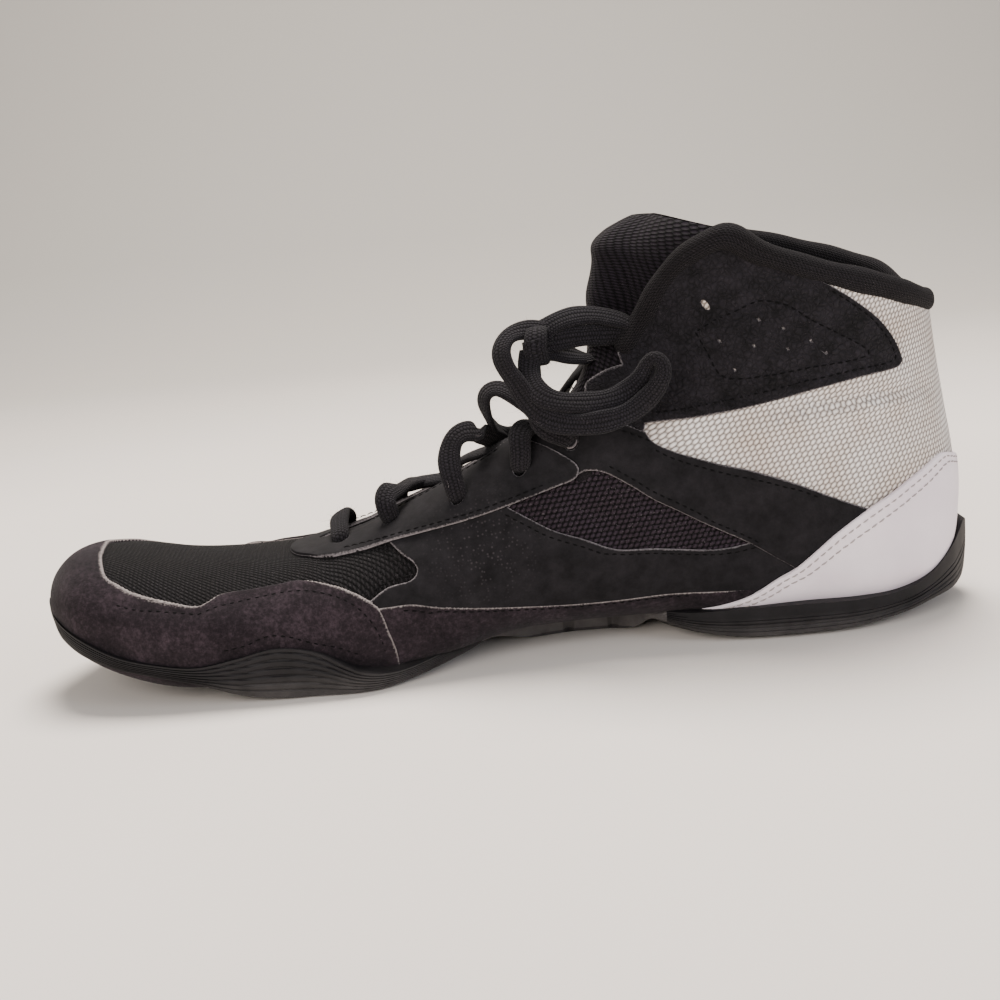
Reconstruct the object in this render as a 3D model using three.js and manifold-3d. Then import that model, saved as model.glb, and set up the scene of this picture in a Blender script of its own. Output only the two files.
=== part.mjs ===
// A black and white wrestling shoe for the right foot, standing empty on its sole.
// Lengths are millimetres. The toe points along -X, the inner (big toe) side faces -Y and +Z is up.
// The upper is a surface of sections that stand upright at the toe and fan back round the
// instep like the segments of a pipe elbow, until they lie nearly level at the ankle.
import * as THREE from 'three';
import Module from 'manifold-3d';
import { mergeVertices } from 'three/addons/utils/BufferGeometryUtils.js';

const wasm = await Module();
wasm.setup();

// Sizes of the last that the upper is drawn over.
const shoeLength = 292;
const collarHeight = 121;
const ballWidth = 92;

// At the waist the inner side is tucked under the arch. rise and fall are section numbers, and
// amount is the share of its low width that the tuck takes away.
const archTuck = { amount: 0.5, rise: [10, 11.2], fall: [12.8, 14.2] };

// Materials of the upper.
const upperWall = 2;
const panelThickness = 1;
const lastingMargin = 8;
const insoleThickness = 3.2;
const tongueThickness = 6.5;
const tongueSkirt = 2.2;
const collarRadius = 3;
const eyeletRadius = 2.3;

// Rubber sole.
const ribDepth = 0.7;
// The wall stands out round the ball on the inner side: its middle and reach are shares of
// shoeLength, and out is a share of ballWidth.
const ballFlare = { middle: -0.155, reach: 0.045, out: 0.043 };
const soleEdgeBevel = 1.6;
const soleKeel = 3.2; // run of the underside for each millimetre that it rises to the edge

// Braided lace. It is 7 mm by 2.4 mm when flat and is drawn as a cord of about the same section.
const laceDiameter = 3.8;
const laceSides = 8;

// Room between two pieces that lie against each other.
const gap = 0.3;
const seamGap = 0.5;

const nubuck = new THREE.MeshStandardMaterial({ color: 0x29272b, roughness: 0.85 });
const suede = new THREE.MeshStandardMaterial({ color: 0x3c3437, roughness: 0.95 });
const fabric = new THREE.MeshStandardMaterial({ color: 0xdcd4d0, roughness: 0.9 });
const whiteLeather = new THREE.MeshStandardMaterial({ color: 0xdfd6d8, roughness: 0.55 });
const rubber = new THREE.MeshStandardMaterial({ color: 0x242226, roughness: 0.6 });
const knit = new THREE.MeshStandardMaterial({ color: 0x232126, roughness: 0.95 });
const laceCloth = new THREE.MeshStandardMaterial({ color: 0x2a282c, roughness: 0.95 });
const board = new THREE.MeshStandardMaterial({ color: 0x8f8a84, roughness: 0.9 });

// A section runs from its low end, on the sole line or the heel back, to its high end on the
// vamp ridge, the instep or the front of the ankle. x is a share of shoeLength, z of
// collarHeight, and the ridge and half widths of ballWidth. widest is how far up the section
// its full width lies, and seat is the share of that width left at the low end.
const sectionColumns = ['lowX', 'lowZ', 'highX', 'highZ', 'ridge', 'inner', 'outer', 'widest', 'seat',
  'innerCrown', 'outerCrown', 'belly'];
const sectionRows = [
  [-0.494, 0.244, -0.494, 0.244, -0.130, 0.000, 0.000, 0.45, 0.60, 2.0, 2.0, 2.0],
  [-0.492, 0.218, -0.492, 0.277, -0.130, 0.082, 0.082, 0.45, 0.60, 2.0, 2.0, 2.0],
  [-0.486, 0.192, -0.486, 0.310, -0.125, 0.158, 0.163, 0.42, 0.70, 2.1, 2.1, 2.0],
  [-0.471, 0.160, -0.471, 0.339, -0.120, 0.239, 0.255, 0.40, 0.78, 2.2, 2.2, 2.0],
  [-0.446, 0.126, -0.446, 0.349, -0.120, 0.310, 0.337, 0.40, 0.84, 2.3, 2.3, 2.0],
  [-0.408, 0.090, -0.408, 0.342, -0.120, 0.359, 0.413, 0.38, 0.87, 2.3, 2.3, 2.0],
  [-0.358, 0.061, -0.358, 0.317, -0.125, 0.391, 0.489, 0.36, 0.88, 2.3, 2.2, 2.0],
  [-0.299, 0.046, -0.299, 0.306, -0.136, 0.386, 0.554, 0.34, 0.88, 2.3, 2.1, 2.0],
  [-0.226, 0.044, -0.226, 0.309, -0.158, 0.359, 0.620, 0.33, 0.88, 2.2, 2.0, 2.0],
  [-0.153, 0.048, -0.153, 0.352, -0.185, 0.310, 0.652, 0.32, 0.87, 2.1, 1.9, 2.0],
  [-0.080, 0.064, -0.080, 0.424, -0.196, 0.261, 0.652, 0.32, 0.84, 2.0, 1.85, 2.0],
  [-0.007, 0.080, -0.010, 0.516, -0.196, 0.217, 0.630, 0.32, 0.80, 2.0, 1.85, 2.0],
  [0.073, 0.084, 0.040, 0.592, -0.174, 0.207, 0.576, 0.33, 0.78, 2.0, 1.9, 2.0],
  [0.159, 0.078, 0.075, 0.668, -0.130, 0.245, 0.511, 0.35, 0.78, 2.0, 1.95, 2.0],
  [0.246, 0.068, 0.093, 0.736, -0.087, 0.288, 0.462, 0.37, 0.78, 2.0, 2.0, 2.0],
  [0.325, 0.064, 0.101, 0.792, -0.054, 0.315, 0.429, 0.39, 0.76, 2.0, 2.0, 2.0],
  [0.395, 0.066, 0.106, 0.840, -0.033, 0.337, 0.408, 0.41, 0.70, 2.0, 2.0, 2.0],
  [0.448, 0.088, 0.109, 0.876, -0.011, 0.359, 0.386, 0.43, 0.52, 2.0, 2.0, 2.1],
  [0.479, 0.168, 0.112, 0.912, 0.000, 0.370, 0.380, 0.45, 0.25, 2.0, 2.0, 2.2],
  [0.491, 0.280, 0.114, 0.948, 0.000, 0.370, 0.380, 0.47, 0.08, 2.0, 2.0, 2.2],
  [0.491, 0.400, 0.117, 0.984, 0.000, 0.370, 0.375, 0.48, 0.06, 2.0, 2.0, 2.1],
  [0.484, 0.528, 0.118, 1.020, 0.000, 0.364, 0.370, 0.49, 0.06, 2.0, 2.0, 2.1],
  [0.476, 0.656, 0.120, 1.056, 0.000, 0.364, 0.370, 0.50, 0.06, 2.0, 2.0, 2.1],
  [0.471, 0.776, 0.122, 1.096, 0.000, 0.370, 0.375, 0.50, 0.06, 2.0, 2.0, 2.1],
  [0.468, 0.888, 0.123, 1.140, 0.000, 0.375, 0.380, 0.50, 0.06, 2.0, 2.0, 2.1],
];

// Outline and side of the rubber sole, from the toe tip to the heel back. x is a share of
// shoeLength, inner and outer are the edges as shares of ballWidth. The rest are shares of
// collarHeight: the tread's height, how far each side's lower edge lies above it, and the tops.
const soleColumns = ['x', 'inner', 'outer', 'tread', 'innerEdge', 'outerEdge', 'innerTop', 'outerTop'];
const soleRows = [
  [-0.5035, -0.150, -0.110, 0.208, 0.006, 0.006, 0.240, 0.240],
  [-0.499, -0.205, -0.055, 0.186, 0.016, 0.016, 0.238, 0.238],
  [-0.491, -0.275, 0.028, 0.158, 0.036, 0.036, 0.231, 0.231],
  [-0.476, -0.374, 0.146, 0.122, 0.048, 0.048, 0.214, 0.214],
  [-0.449, -0.458, 0.252, 0.086, 0.052, 0.052, 0.184, 0.184],
  [-0.411, -0.512, 0.324, 0.052, 0.056, 0.056, 0.144, 0.144],
  [-0.370, -0.538, 0.386, 0.024, 0.060, 0.056, 0.120, 0.122],
  [-0.329, -0.545, 0.438, 0.005, 0.052, 0.048, 0.106, 0.112],
  [-0.288, -0.550, 0.476, 0.000, 0.024, 0.022, 0.120, 0.118],
  [-0.247, -0.550, 0.502, 0.000, 0.008, 0.010, 0.136, 0.122],
  [-0.205, -0.540, 0.518, 0.000, 0.006, 0.008, 0.116, 0.114],
  [-0.164, -0.518, 0.524, 0.000, 0.006, 0.008, 0.062, 0.096],
  [-0.130, -0.490, 0.520, 0.000, 0.008, 0.008, 0.044, 0.092],
  [-0.096, -0.452, 0.512, 0.000, 0.020, 0.008, 0.052, 0.094],
  [-0.062, -0.385, 0.502, 0.000, 0.036, 0.008, 0.070, 0.098],
  [-0.027, -0.270, 0.489, 0.000, 0.046, 0.013, 0.084, 0.100],
  [0.014, -0.142, 0.474, 0.000, 0.006, 0.013, 0.099, 0.102],
  [0.055, -0.105, 0.458, 0.000, 0.002, 0.013, 0.099, 0.102],
  [0.096, -0.105, 0.442, 0.000, 0.002, 0.013, 0.099, 0.102],
  [0.127, -0.145, 0.432, 0.000, 0.008, 0.013, 0.094, 0.100],
  [0.147, -0.240, 0.426, 0.000, 0.050, 0.013, 0.080, 0.098],
  [0.171, -0.312, 0.420, 0.000, 0.040, 0.013, 0.080, 0.096],
  [0.199, -0.356, 0.416, 0.000, 0.025, 0.013, 0.084, 0.095],
  [0.240, -0.385, 0.414, 0.000, 0.014, 0.013, 0.090, 0.094],
  [0.300, -0.400, 0.412, 0.000, 0.013, 0.013, 0.092, 0.093],
  [0.360, -0.388, 0.400, 0.000, 0.016, 0.016, 0.088, 0.090],
  [0.411, -0.344, 0.360, 0.000, 0.030, 0.030, 0.094, 0.096],
  [0.445, -0.286, 0.302, 0.003, 0.040, 0.040, 0.120, 0.122],
  [0.473, -0.212, 0.228, 0.008, 0.042, 0.042, 0.165, 0.167],
  [0.489, -0.144, 0.158, 0.018, 0.040, 0.040, 0.196, 0.197],
  [0.498, -0.096, 0.108, 0.042, 0.032, 0.032, 0.213, 0.213],
  [0.504, -0.058, 0.068, 0.084, 0.024, 0.024, 0.206, 0.206],
  [0.507, -0.020, 0.030, 0.124, 0.012, 0.012, 0.165, 0.165],
];

// Edges of the throat seen from above: x as a share of shoeLength, y as shares of ballWidth.
const throatColumns = ['x', 'inner', 'outer'];
const throatRows = [
  [-0.205, -0.098, -0.076],
  [-0.192, -0.120, -0.043],
  [-0.171, -0.136, -0.011],
  [-0.137, -0.163, 0.033],
  [-0.096, -0.190, 0.071],
  [-0.048, -0.212, 0.109],
  [0.000, -0.223, 0.141],
  [0.041, -0.228, 0.168],
  [0.082, -0.239, 0.196],
  [0.116, -0.250, 0.217],
  [0.158, -0.272, 0.261],
];

// Lines drawn on the side of the shoe, as pairs of x (share of shoeLength) and z (share of
// collarHeight): the middle of the collar roll, and the seams between the panels.
const notchLine = [[0.093, 0.665], [0.096, 0.682], [0.115, 0.709], [0.133, 0.722]];
const collarLine = [[0.130, 0.749], [0.146, 0.800], [0.161, 0.852], [0.173, 0.906], [0.191, 0.960],
  [0.209, 0.992], [0.230, 1.002], [0.249, 0.999], [0.272, 0.976], [0.301, 0.950], [0.333, 0.921],
  [0.371, 0.891], [0.415, 0.855], [0.443, 0.828], [0.462, 0.808]];
const randTopSeam = [[-0.429, 0.420], [-0.429, 0.354], [-0.436, 0.344], [-0.434, 0.332], [-0.417, 0.312],
  [-0.395, 0.285], [-0.369, 0.266], [-0.329, 0.243], [-0.316, 0.246], [-0.302, 0.258],
  [-0.285, 0.261], [-0.246, 0.265], [-0.220, 0.270], [-0.188, 0.262], [-0.164, 0.242]];
const randRearSeam = [[-0.147, 0.219], [-0.138, 0.196], [-0.132, 0.150], [-0.124, 0.094], [-0.120, -0.050]];
const archSeam = [[-0.129, 0.203], [-0.106, 0.203], [-0.080, 0.188], [-0.048, 0.174], [0.005, 0.156],
  [0.057, 0.143], [0.108, 0.140], [0.162, 0.143], [0.214, 0.139], [0.246, 0.137]];
const vampSeam = [[-0.147, 0.224], [-0.129, 0.247], [-0.106, 0.257], [-0.098, 0.276], [-0.101, 0.297],
  [-0.123, 0.336], [-0.129, 0.353]];
const counterSeam = [[0.190, -0.050], [0.192, 0.080], [0.195, 0.090], [0.219, 0.101], [0.248, 0.123],
  [0.276, 0.160], [0.298, 0.188], [0.338, 0.264], [0.373, 0.318], [0.401, 0.352], [0.434, 0.391],
  [0.455, 0.416], [0.467, 0.418], [0.485, 0.402], [0.520, 0.400]];
const fabricLowSeam = [[0.368, 0.321], [0.335, 0.357], [0.296, 0.402], [0.256, 0.440],
  [0.219, 0.467], [0.178, 0.503], [0.155, 0.533], [0.149, 0.554]];
const fabricHighSeam = [[0.150, 0.580], [0.204, 0.584], [0.251, 0.598], [0.286, 0.613], [0.324, 0.631],
  [0.374, 0.649], [0.408, 0.656], [0.418, 0.667], [0.419, 0.682], [0.411, 0.729], [0.395, 0.783],
  [0.370, 0.835], [0.346, 0.876], [0.335, 0.888]];
const ankleSeam = [[0.085, 0.640], [0.092, 0.590], [0.112, 0.562], [0.130, 0.560], [0.150, 0.578]];
const eyestaySeam = [[-0.232, 0.330], [-0.226, 0.312], [-0.205, 0.307], [-0.185, 0.310], [-0.156, 0.323],
  [-0.106, 0.348], [-0.042, 0.380], [0.001, 0.407], [0.052, 0.441], [0.071, 0.455], [0.077, 0.472],
  [0.076, 0.490], [0.064, 0.512], [0.046, 0.535], [0.020, 0.557]];
const windowLine = [[0.001, 0.408], [0.025, 0.427], [0.061, 0.448], [0.076, 0.460], [0.090, 0.469],
  [0.104, 0.464], [0.129, 0.430], [0.151, 0.392], [0.177, 0.356], [0.206, 0.314], [0.246, 0.262],
  [0.228, 0.251], [0.201, 0.252], [0.149, 0.268], [0.109, 0.275], [0.077, 0.307], [0.046, 0.337],
  [0.022, 0.372]];

const innerSide = -1;
const outerSide = 1;

function readRows(columns, rows) {
  return rows.map((row) => Object.fromEntries(columns.map((name, i) => [name, row[i]])));
}

const sections = readRows(sectionColumns, sectionRows);
const soleStations = readRows(soleColumns, soleRows);
const throatStations = readRows(throatColumns, throatRows);
const lastSection = sections.length - 1;

// Value of one column at any place s along a table, by a smooth curve through its rows.
function smoothValue(table, name, s) {
  const last = table.length - 1;
  const i = Math.min(Math.max(Math.floor(s), 0), last - 1);
  const t = s - i;
  const b = table[i][name];
  const c = table[i + 1][name];
  const a = i > 0 ? table[i - 1][name] : 2 * b - c;
  const d = i < last - 1 ? table[i + 2][name] : 2 * c - b;
  return 0.5 * (2 * b + (c - a) * t + (2 * a - 5 * b + 4 * c - d) * t * t + (3 * b - a - 3 * c + d) * t ** 3);
}

// A point of the last's skin. s counts the sections from the toe, turn goes from 0 at the low
// end of the section to 1 at its ridge, and side tells the inner from the outer half.
function skinPoint(s, turn, side) {
  const at = (name) => smoothValue(sections, name, s);
  const angle = turn * Math.PI;
  const low = turn <= 0.5;
  const crown = side === innerSide ? at('innerCrown') : at('outerCrown');
  const power = 2 / (low ? at('belly') : crown);
  const rise = Math.abs(Math.cos(angle)) ** power;
  const spread = Math.max(Math.sin(angle), 0) ** power;
  const widest = at('widest');
  const tuck = side === innerSide ? archTuck.amount * THREE.MathUtils.smoothstep(s, ...archTuck.rise)
    * (1 - THREE.MathUtils.smoothstep(s, ...archTuck.fall)) : 0;
  const seat = at('seat') * (1 - tuck);
  const height = low ? widest * (1 - rise) : widest + (1 - widest) * rise;
  const share = low ? seat + (1 - seat) * spread : spread;
  const halfWidth = ballWidth * (side === innerSide ? at('inner') : at('outer'));
  const x = shoeLength * THREE.MathUtils.lerp(at('lowX'), at('highX'), height);
  const z = collarHeight * THREE.MathUtils.lerp(at('lowZ'), at('highZ'), height);
  return new THREE.Vector3(x, ballWidth * at('ridge') + side * halfWidth * share, z);
}

// The same point moved out of the skin by a distance, or into it where that is negative.
function formPoint(s, turn, side, out) {
  const point = skinPoint(s, turn, side);
  if (s < 1e-6) {
    return point.add(new THREE.Vector3(-out, 0, 0));
  }
  const step = 0.02;
  const along = skinPoint(Math.min(s + step, lastSection), turn, side)
    .sub(skinPoint(Math.max(s - step, 0.01), turn, side));
  const across = skinPoint(s, Math.min(turn + step, 1), side)
    .sub(skinPoint(s, Math.max(turn - step, 0), side));
  const normal = new THREE.Vector3().crossVectors(along, across).normalize().multiplyScalar(-side);
  if (turn > 0.999 || turn < 0.001) {
    normal.y = 0;
    normal.normalize();
  }
  return point.addScaledVector(normal, out);
}

// Closed surface through rings of points, with both ends filled.
function loft(rings) {
  const count = rings[0].length;
  const points = rings.flat();
  const index = [];
  for (let r = 0; r < rings.length - 1; r += 1) {
    for (let k = 0; k < count; k += 1) {
      const a = r * count + k;
      const b = r * count + ((k + 1) % count);
      index.push(a, b, a + count, b, b + count, a + count);
    }
  }
  [0, rings.length - 1].forEach((r) => {
    const centre = rings[r].reduce((sum, p) => sum.add(p), new THREE.Vector3()).divideScalar(count);
    const hub = points.push(centre) - 1;
    for (let k = 0; k < count; k += 1) {
      const a = r * count + k;
      const b = r * count + ((k + 1) % count);
      index.push(hub, ...(r === 0 ? [b, a] : [a, b]));
    }
  });
  const geometry = new THREE.BufferGeometry().setFromPoints(points);
  geometry.setIndex(index);
  return geometry;
}

// A closed mesh becomes a solid: shared corners merged, flat triangles dropped, faces outward.
function toSolid(geometry) {
  const bare = geometry.clone();
  bare.deleteAttribute('normal');
  bare.deleteAttribute('uv');
  const merged = mergeVertices(bare, 1e-4);
  const position = merged.attributes.position;
  const corners = merged.index.array;
  const kept = [];
  let volume = 0;
  const [p, q, r] = [new THREE.Vector3(), new THREE.Vector3(), new THREE.Vector3()];
  for (let i = 0; i < corners.length; i += 3) {
    const [a, b, c] = corners.slice(i, i + 3);
    if (a !== b && b !== c && a !== c) {
      kept.push([a, b, c]);
      p.fromBufferAttribute(position, a);
      q.fromBufferAttribute(position, b);
      r.fromBufferAttribute(position, c);
      volume += p.dot(q.cross(r));
    }
  }
  const triVerts = new Uint32Array(kept.flatMap(([a, b, c]) => (volume > 0 ? [a, b, c] : [a, c, b])));
  const vertProperties = new Float32Array(position.array);
  return new wasm.Manifold(new wasm.Mesh({ numProp: 3, vertProperties, triVerts }));
}

function toGeometry(solid) {
  const mesh = solid.getMesh();
  const geometry = new THREE.BufferGeometry();
  geometry.setAttribute('position', new THREE.BufferAttribute(new Float32Array(mesh.vertProperties), 3));
  geometry.setIndex(new THREE.BufferAttribute(new Uint32Array(mesh.triVerts), 1));
  geometry.computeVertexNormals();
  return geometry;
}

// Places along the sections where a form gets a ring: closer together at the toe and heel.
const ringPlaces = [0, 0.7, 1.4, 2.2, 3.1, 4, 5.2, 6.6, 8, 9, 10, 11, 12, 13, 14.2, 15.5, 16.3, 17, 17.6, 18.3,
  19.5, 21.5, 24];
const turnSteps = 10;

// The whole last as a closed form, larger or smaller than the skin by a distance.
function lastForm(out) {
  const turns = Array.from({ length: turnSteps + 1 }, (_, k) => k / turnSteps);
  return toSolid(loft(ringPlaces.map((s) => [
    ...turns.map((turn) => formPoint(s, turn, innerSide, out)),
    ...turns.slice(0, -1).reverse().map((turn) => formPoint(s, turn, outerSide, out)),
  ])));
}

const sideReach = 2 * ballWidth;
const onSide = ([x, z]) => [x * shoeLength, z * collarHeight];

// A prism through the shoe from side to side, with an outline drawn on the side view.
function sidePrism(outline, from = -sideReach, to = sideReach) {
  const shape = new THREE.Shape(outline.map(([x, z]) => new THREE.Vector2(x, z)));
  const geometry = new THREE.ExtrudeGeometry(shape, { depth: to - from, bevelEnabled: false });
  geometry.rotateX(Math.PI / 2);
  geometry.translate(0, to, 0);
  return toSolid(geometry);
}

// An upright prism with an outline drawn on the view from above.
function planPrism(outline, bottom, top) {
  const shape = new THREE.Shape(outline.map(([x, y]) => new THREE.Vector2(x, y)));
  const geometry = new THREE.ExtrudeGeometry(shape, { depth: top - bottom, bevelEnabled: false });
  geometry.translate(0, 0, bottom);
  return toSolid(geometry);
}

// A line of the side view moved in millimetres.
function moved(line, dx, dz) {
  return line.map((point) => {
    const [x, z] = onSide(point);
    return [x + dx, z + dz];
  });
}

// Place on the skin that the side view shows at x and z.
function findOnSkin(x, z, side) {
  const offPlane = (s) => {
    const [bx, bz] = [shoeLength * smoothValue(sections, 'lowX', s), collarHeight * smoothValue(sections, 'lowZ', s)];
    const [tx, tz] = [shoeLength * smoothValue(sections, 'highX', s), collarHeight * smoothValue(sections, 'highZ', s)];
    return (tx - bx) * (z - bz) - (tz - bz) * (x - bx);
  };
  let [near, far] = [0.5, lastSection];
  for (let i = 0; i < 40; i += 1) {
    const middle = (near + far) / 2;
    if (offPlane(near) * offPlane(middle) <= 0) {
      far = middle;
    } else {
      near = middle;
    }
  }
  const s = (near + far) / 2;
  let [low, high] = [0, 1];
  const upward = skinPoint(s, 1, side).sub(skinPoint(s, 0, side)).setY(0);
  const target = new THREE.Vector3(x, 0, z);
  for (let i = 0; i < 40; i += 1) {
    const turn = (low + high) / 2;
    if (target.clone().sub(skinPoint(s, turn, side)).setY(0).dot(upward) > 0) {
      low = turn;
    } else {
      high = turn;
    }
  }
  return { s, turn: (low + high) / 2, side };
}

// A closed round bar along points, with flat ends.
function bar(points, width, thickness, sides, steps, closed = false) {
  const shape = new THREE.Shape(Array.from({ length: sides }, (_, k) => {
    const angle = (2 * Math.PI * (k + 0.5)) / sides;
    return new THREE.Vector2((width / 2) * Math.cos(angle), (thickness / 2) * Math.sin(angle));
  }));
  const path = new THREE.CatmullRomCurve3(points, closed, 'centripetal');
  return toSolid(new THREE.ExtrudeGeometry(shape, { steps, extrudePath: path, bevelEnabled: false }));
}

const group = new THREE.Group();

function addPiece(name, solid, material) {
  const mesh = new THREE.Mesh(toGeometry(solid), material);
  mesh.name = name;
  group.add(mesh);
}

// Openings of the upper: the throat under the laces, the collar, and the foot opening that the
// board closes from below.
function throatCutter(clearance) {
  const inner = throatStations.map((row) => [row.x * shoeLength, row.inner * ballWidth + clearance]);
  const outer = throatStations.map((row) => [row.x * shoeLength, row.outer * ballWidth - clearance]);
  const floorLevel = 0.24 * collarHeight;
  return planPrism([...inner, ...outer.reverse()], floorLevel, 2 * collarHeight);
}

function collarCutter(clearance) {
  const rise = 2 * collarHeight;
  const edge = moved([...notchLine, ...collarLine], -clearance, clearance);
  const [startX, startZ] = edge[0];
  const [, endZ] = edge[edge.length - 1];
  const back = 0.6 * shoeLength;
  return sidePrism([[startX - 0.1 * shoeLength, startZ], ...edge, [back, endZ], [back, rise],
    [startX - 0.1 * shoeLength, rise]]);
}

function footOpening(clearance, bottom, top) {
  const front = -0.451 * shoeLength + clearance;
  const rear = 0.452 * shoeLength - clearance;
  const inset = lastingMargin + clearance;
  const rows = soleStations
    .map((row) => [row.x * shoeLength, row.inner * ballWidth + inset, row.outer * ballWidth - inset])
    .filter(([x, inner, outer]) => x > front && x < rear && outer - inner > inset);
  return planPrism([...rows.map(([x, inner]) => [x, inner]),
    ...rows.map(([x, , outer]) => [x, outer]).reverse()], bottom, top);
}

const boardTop = 0.142 * collarHeight;
const boardBottom = -0.04 * collarHeight;
const skin = lastForm(0);
const cavity = lastForm(-upperWall);
const throat = throatCutter(0);
const aboveCollar = collarCutter(0);
const opening = footOpening(0, boardBottom, boardTop);

// Collar roll: a padded bar that follows the top edge from the inner front round the heel to
// the outer front.
function collarPoints() {
  const half = (side) => collarLine.map((point) => {
    const place = findOnSkin(...onSide(point), side);
    return formPoint(place.s, place.turn, side, -upperWall / 2);
  });
  const [inner, outer] = [half(innerSide), half(outerSide)];
  const heel = inner[inner.length - 1].clone().lerp(outer[outer.length - 1], 0.5);
  heel.x = shoeLength * 0.4705 - upperWall / 2;
  return [...inner, heel, ...outer.reverse()];
}

const collarPath = collarPoints();
const collarRoll = bar(collarPath, 2 * collarRadius, 2 * collarRadius, 8, 44);
const collarRoom = bar(collarPath, 2 * (collarRadius + gap), 2 * (collarRadius + gap), 8, 44);

// Eyelet holes up the throat and the empty one at the ankle: x and z shares on the side view.
const innerEyelets = [[-0.177, 0.332], [-0.120, 0.374], [-0.048, 0.427], [0.018, 0.490], [0.073, 0.546],
  [0.219, 0.858]];
const outerEyelets = [[-0.177, 0.318], [-0.120, 0.342], [-0.048, 0.390], [0.018, 0.431], [0.073, 0.453],
  [0.219, 0.858]];

function eyeletHole(place, radius) {
  const deep = formPoint(place.s, place.turn, place.side, -2 * upperWall);
  const high = formPoint(place.s, place.turn, place.side, 4 * upperWall);
  return bar([deep, deep.clone().lerp(high, 0.5), high], 2 * radius, 2 * radius, 8, 2);
}

const innerPlaces = innerEyelets.map((point) => findOnSkin(...onSide(point), innerSide));
const outerPlaces = outerEyelets.map((point) => findOnSkin(...onSide(point), outerSide));
const eyeletHoles = [...innerPlaces, ...outerPlaces].map((place) => eyeletHole(place, eyeletRadius));

function cutBy(solid, cutters) {
  return cutters.reduce((rest, cutter) => rest.subtract(cutter), solid);
}

addPiece('upper', cutBy(skin.subtract(cavity), [throat, aboveCollar, collarRoom, opening, ...eyeletHoles]), fabric);
addPiece('collar_roll', collarRoll, knit);

// Panels lie on the skin in two layers. The quarter, rands, counter and ankle panels are the
// first, and the eyestays lie over the quarter as the second.
const firstLayer = lastForm(gap + panelThickness).subtract(lastForm(gap));
const secondLayer = lastForm(2 * (gap + panelThickness)).subtract(lastForm(2 * gap + panelThickness));
const halfSeam = seamGap / 2;
const below = -0.2 * collarHeight;
const sideSplit = -0.13 * ballWidth;

function halfPrism(outline, side, split = sideSplit) {
  return side === innerSide ? sidePrism(outline, -sideReach, split) : sidePrism(outline, split, sideReach);
}

const [, randTopFront] = onSide(randTopSeam[0]);
const toeRand = sidePrism([...moved(randTopSeam, -halfSeam, -halfSeam), ...moved(randRearSeam, -halfSeam, 0),
  [-0.6 * shoeLength, below], [-0.6 * shoeLength, randTopFront]]);
addPiece('toe_rand', cutBy(firstLayer.intersect(toeRand), [opening]), suede);

const counter = sidePrism([...moved(counterSeam, halfSeam, -halfSeam), [0.52 * shoeLength, below],
  [0.19 * shoeLength + halfSeam, below]]);
addPiece('heel_counter', cutBy(firstLayer.intersect(counter), [opening]), whiteLeather);

[[innerSide, 'inner'], [outerSide, 'outer']].forEach(([side, sideName]) => {
  const lowerCounter = moved(counterSeam.slice(0, 5), -halfSeam, halfSeam);
  const arch = halfPrism([...moved(randRearSeam.slice(1), halfSeam, 0).reverse(), ...moved(archSeam, 0, -halfSeam),
    ...lowerCounter.reverse()], side, 0.1 * ballWidth);
  addPiece(`arch_rand_${sideName}`, cutBy(firstLayer.intersect(arch), [opening]), suede);

  const quarter = halfPrism([...moved(vampSeam, halfSeam, 0), [-0.129 * shoeLength, 0.6 * collarHeight],
    [0.02 * shoeLength, 0.8 * collarHeight], ...moved(ankleSeam, 0, -halfSeam),
    ...moved(fabricLowSeam, 0, 0).reverse(), ...moved(counterSeam.slice(5, 8), -halfSeam, halfSeam).reverse(),
    ...moved(archSeam, 0, halfSeam).reverse()], side);
  const window = halfPrism(moved(windowLine, 0, 0), side);
  addPiece(`quarter_${sideName}`, cutBy(firstLayer.intersect(quarter), [window, throat, aboveCollar, ...eyeletHoles]),
    nubuck);

  const eyestay = halfPrism([...moved(eyestaySeam, 0, 0), [-0.02 * shoeLength, 0.75 * collarHeight],
    [-0.24 * shoeLength, 0.5 * collarHeight]], side);
  addPiece(`eyestay_${sideName}`, cutBy(secondLayer.intersect(eyestay), [throat, aboveCollar, ...eyeletHoles]), nubuck);

  const ankle = halfPrism([...moved(ankleSeam, 0, halfSeam), ...moved(fabricHighSeam, 0, 0),
    [0.33 * shoeLength, collarHeight], [0.24 * shoeLength, 1.1 * collarHeight], [0.085 * shoeLength, 1.1 * collarHeight]], side);
  addPiece(`ankle_panel_${sideName}`, cutBy(firstLayer.intersect(ankle), [throat, aboveCollar, collarRoom, ...eyeletHoles]),
    nubuck);
});

// Outsole: a cup of rubber whose sides rise round the rands, with three ribs along each side.
const ribProfile = [[0, 0], [0.22, 0], [0.36, 1], [0.5, 0], [0.64, 1], [0.78, 0], [1, 0]];

function soleRing(station) {
  const flare = ballFlare.out * Math.exp(-(((station.x - ballFlare.middle) / ballFlare.reach) ** 2));
  const inner = station.inner - flare;
  const width = (station.outer - inner) * ballWidth;
  const bevel = Math.min(soleEdgeBevel, 0.22 * width);
  const depth = Math.min(ribDepth, 0.05 * width);
  const flank = (edge, top, rise, side) => ribProfile.map(([fall, groove]) => {
    const z = THREE.MathUtils.lerp(top, station.tread + rise, fall) * collarHeight;
    return [edge * ballWidth - side * (groove * depth + bevel * fall ** 3), z];
  });
  const flat = (edge, rise, side) => {
    const inset = Math.min(bevel + soleKeel * rise * collarHeight, 0.4 * width);
    return [edge * ballWidth - side * inset, station.tread * collarHeight];
  };
  return [
    ...flank(inner, station.innerTop, station.innerEdge, innerSide),
    flat(inner, station.innerEdge, innerSide),
    flat(station.outer, station.outerEdge, outerSide),
    ...flank(station.outer, station.outerTop, station.outerEdge, outerSide).reverse(),
  ].map(([y, z]) => new THREE.Vector3(station.x * shoeLength, y, z));
}

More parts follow.
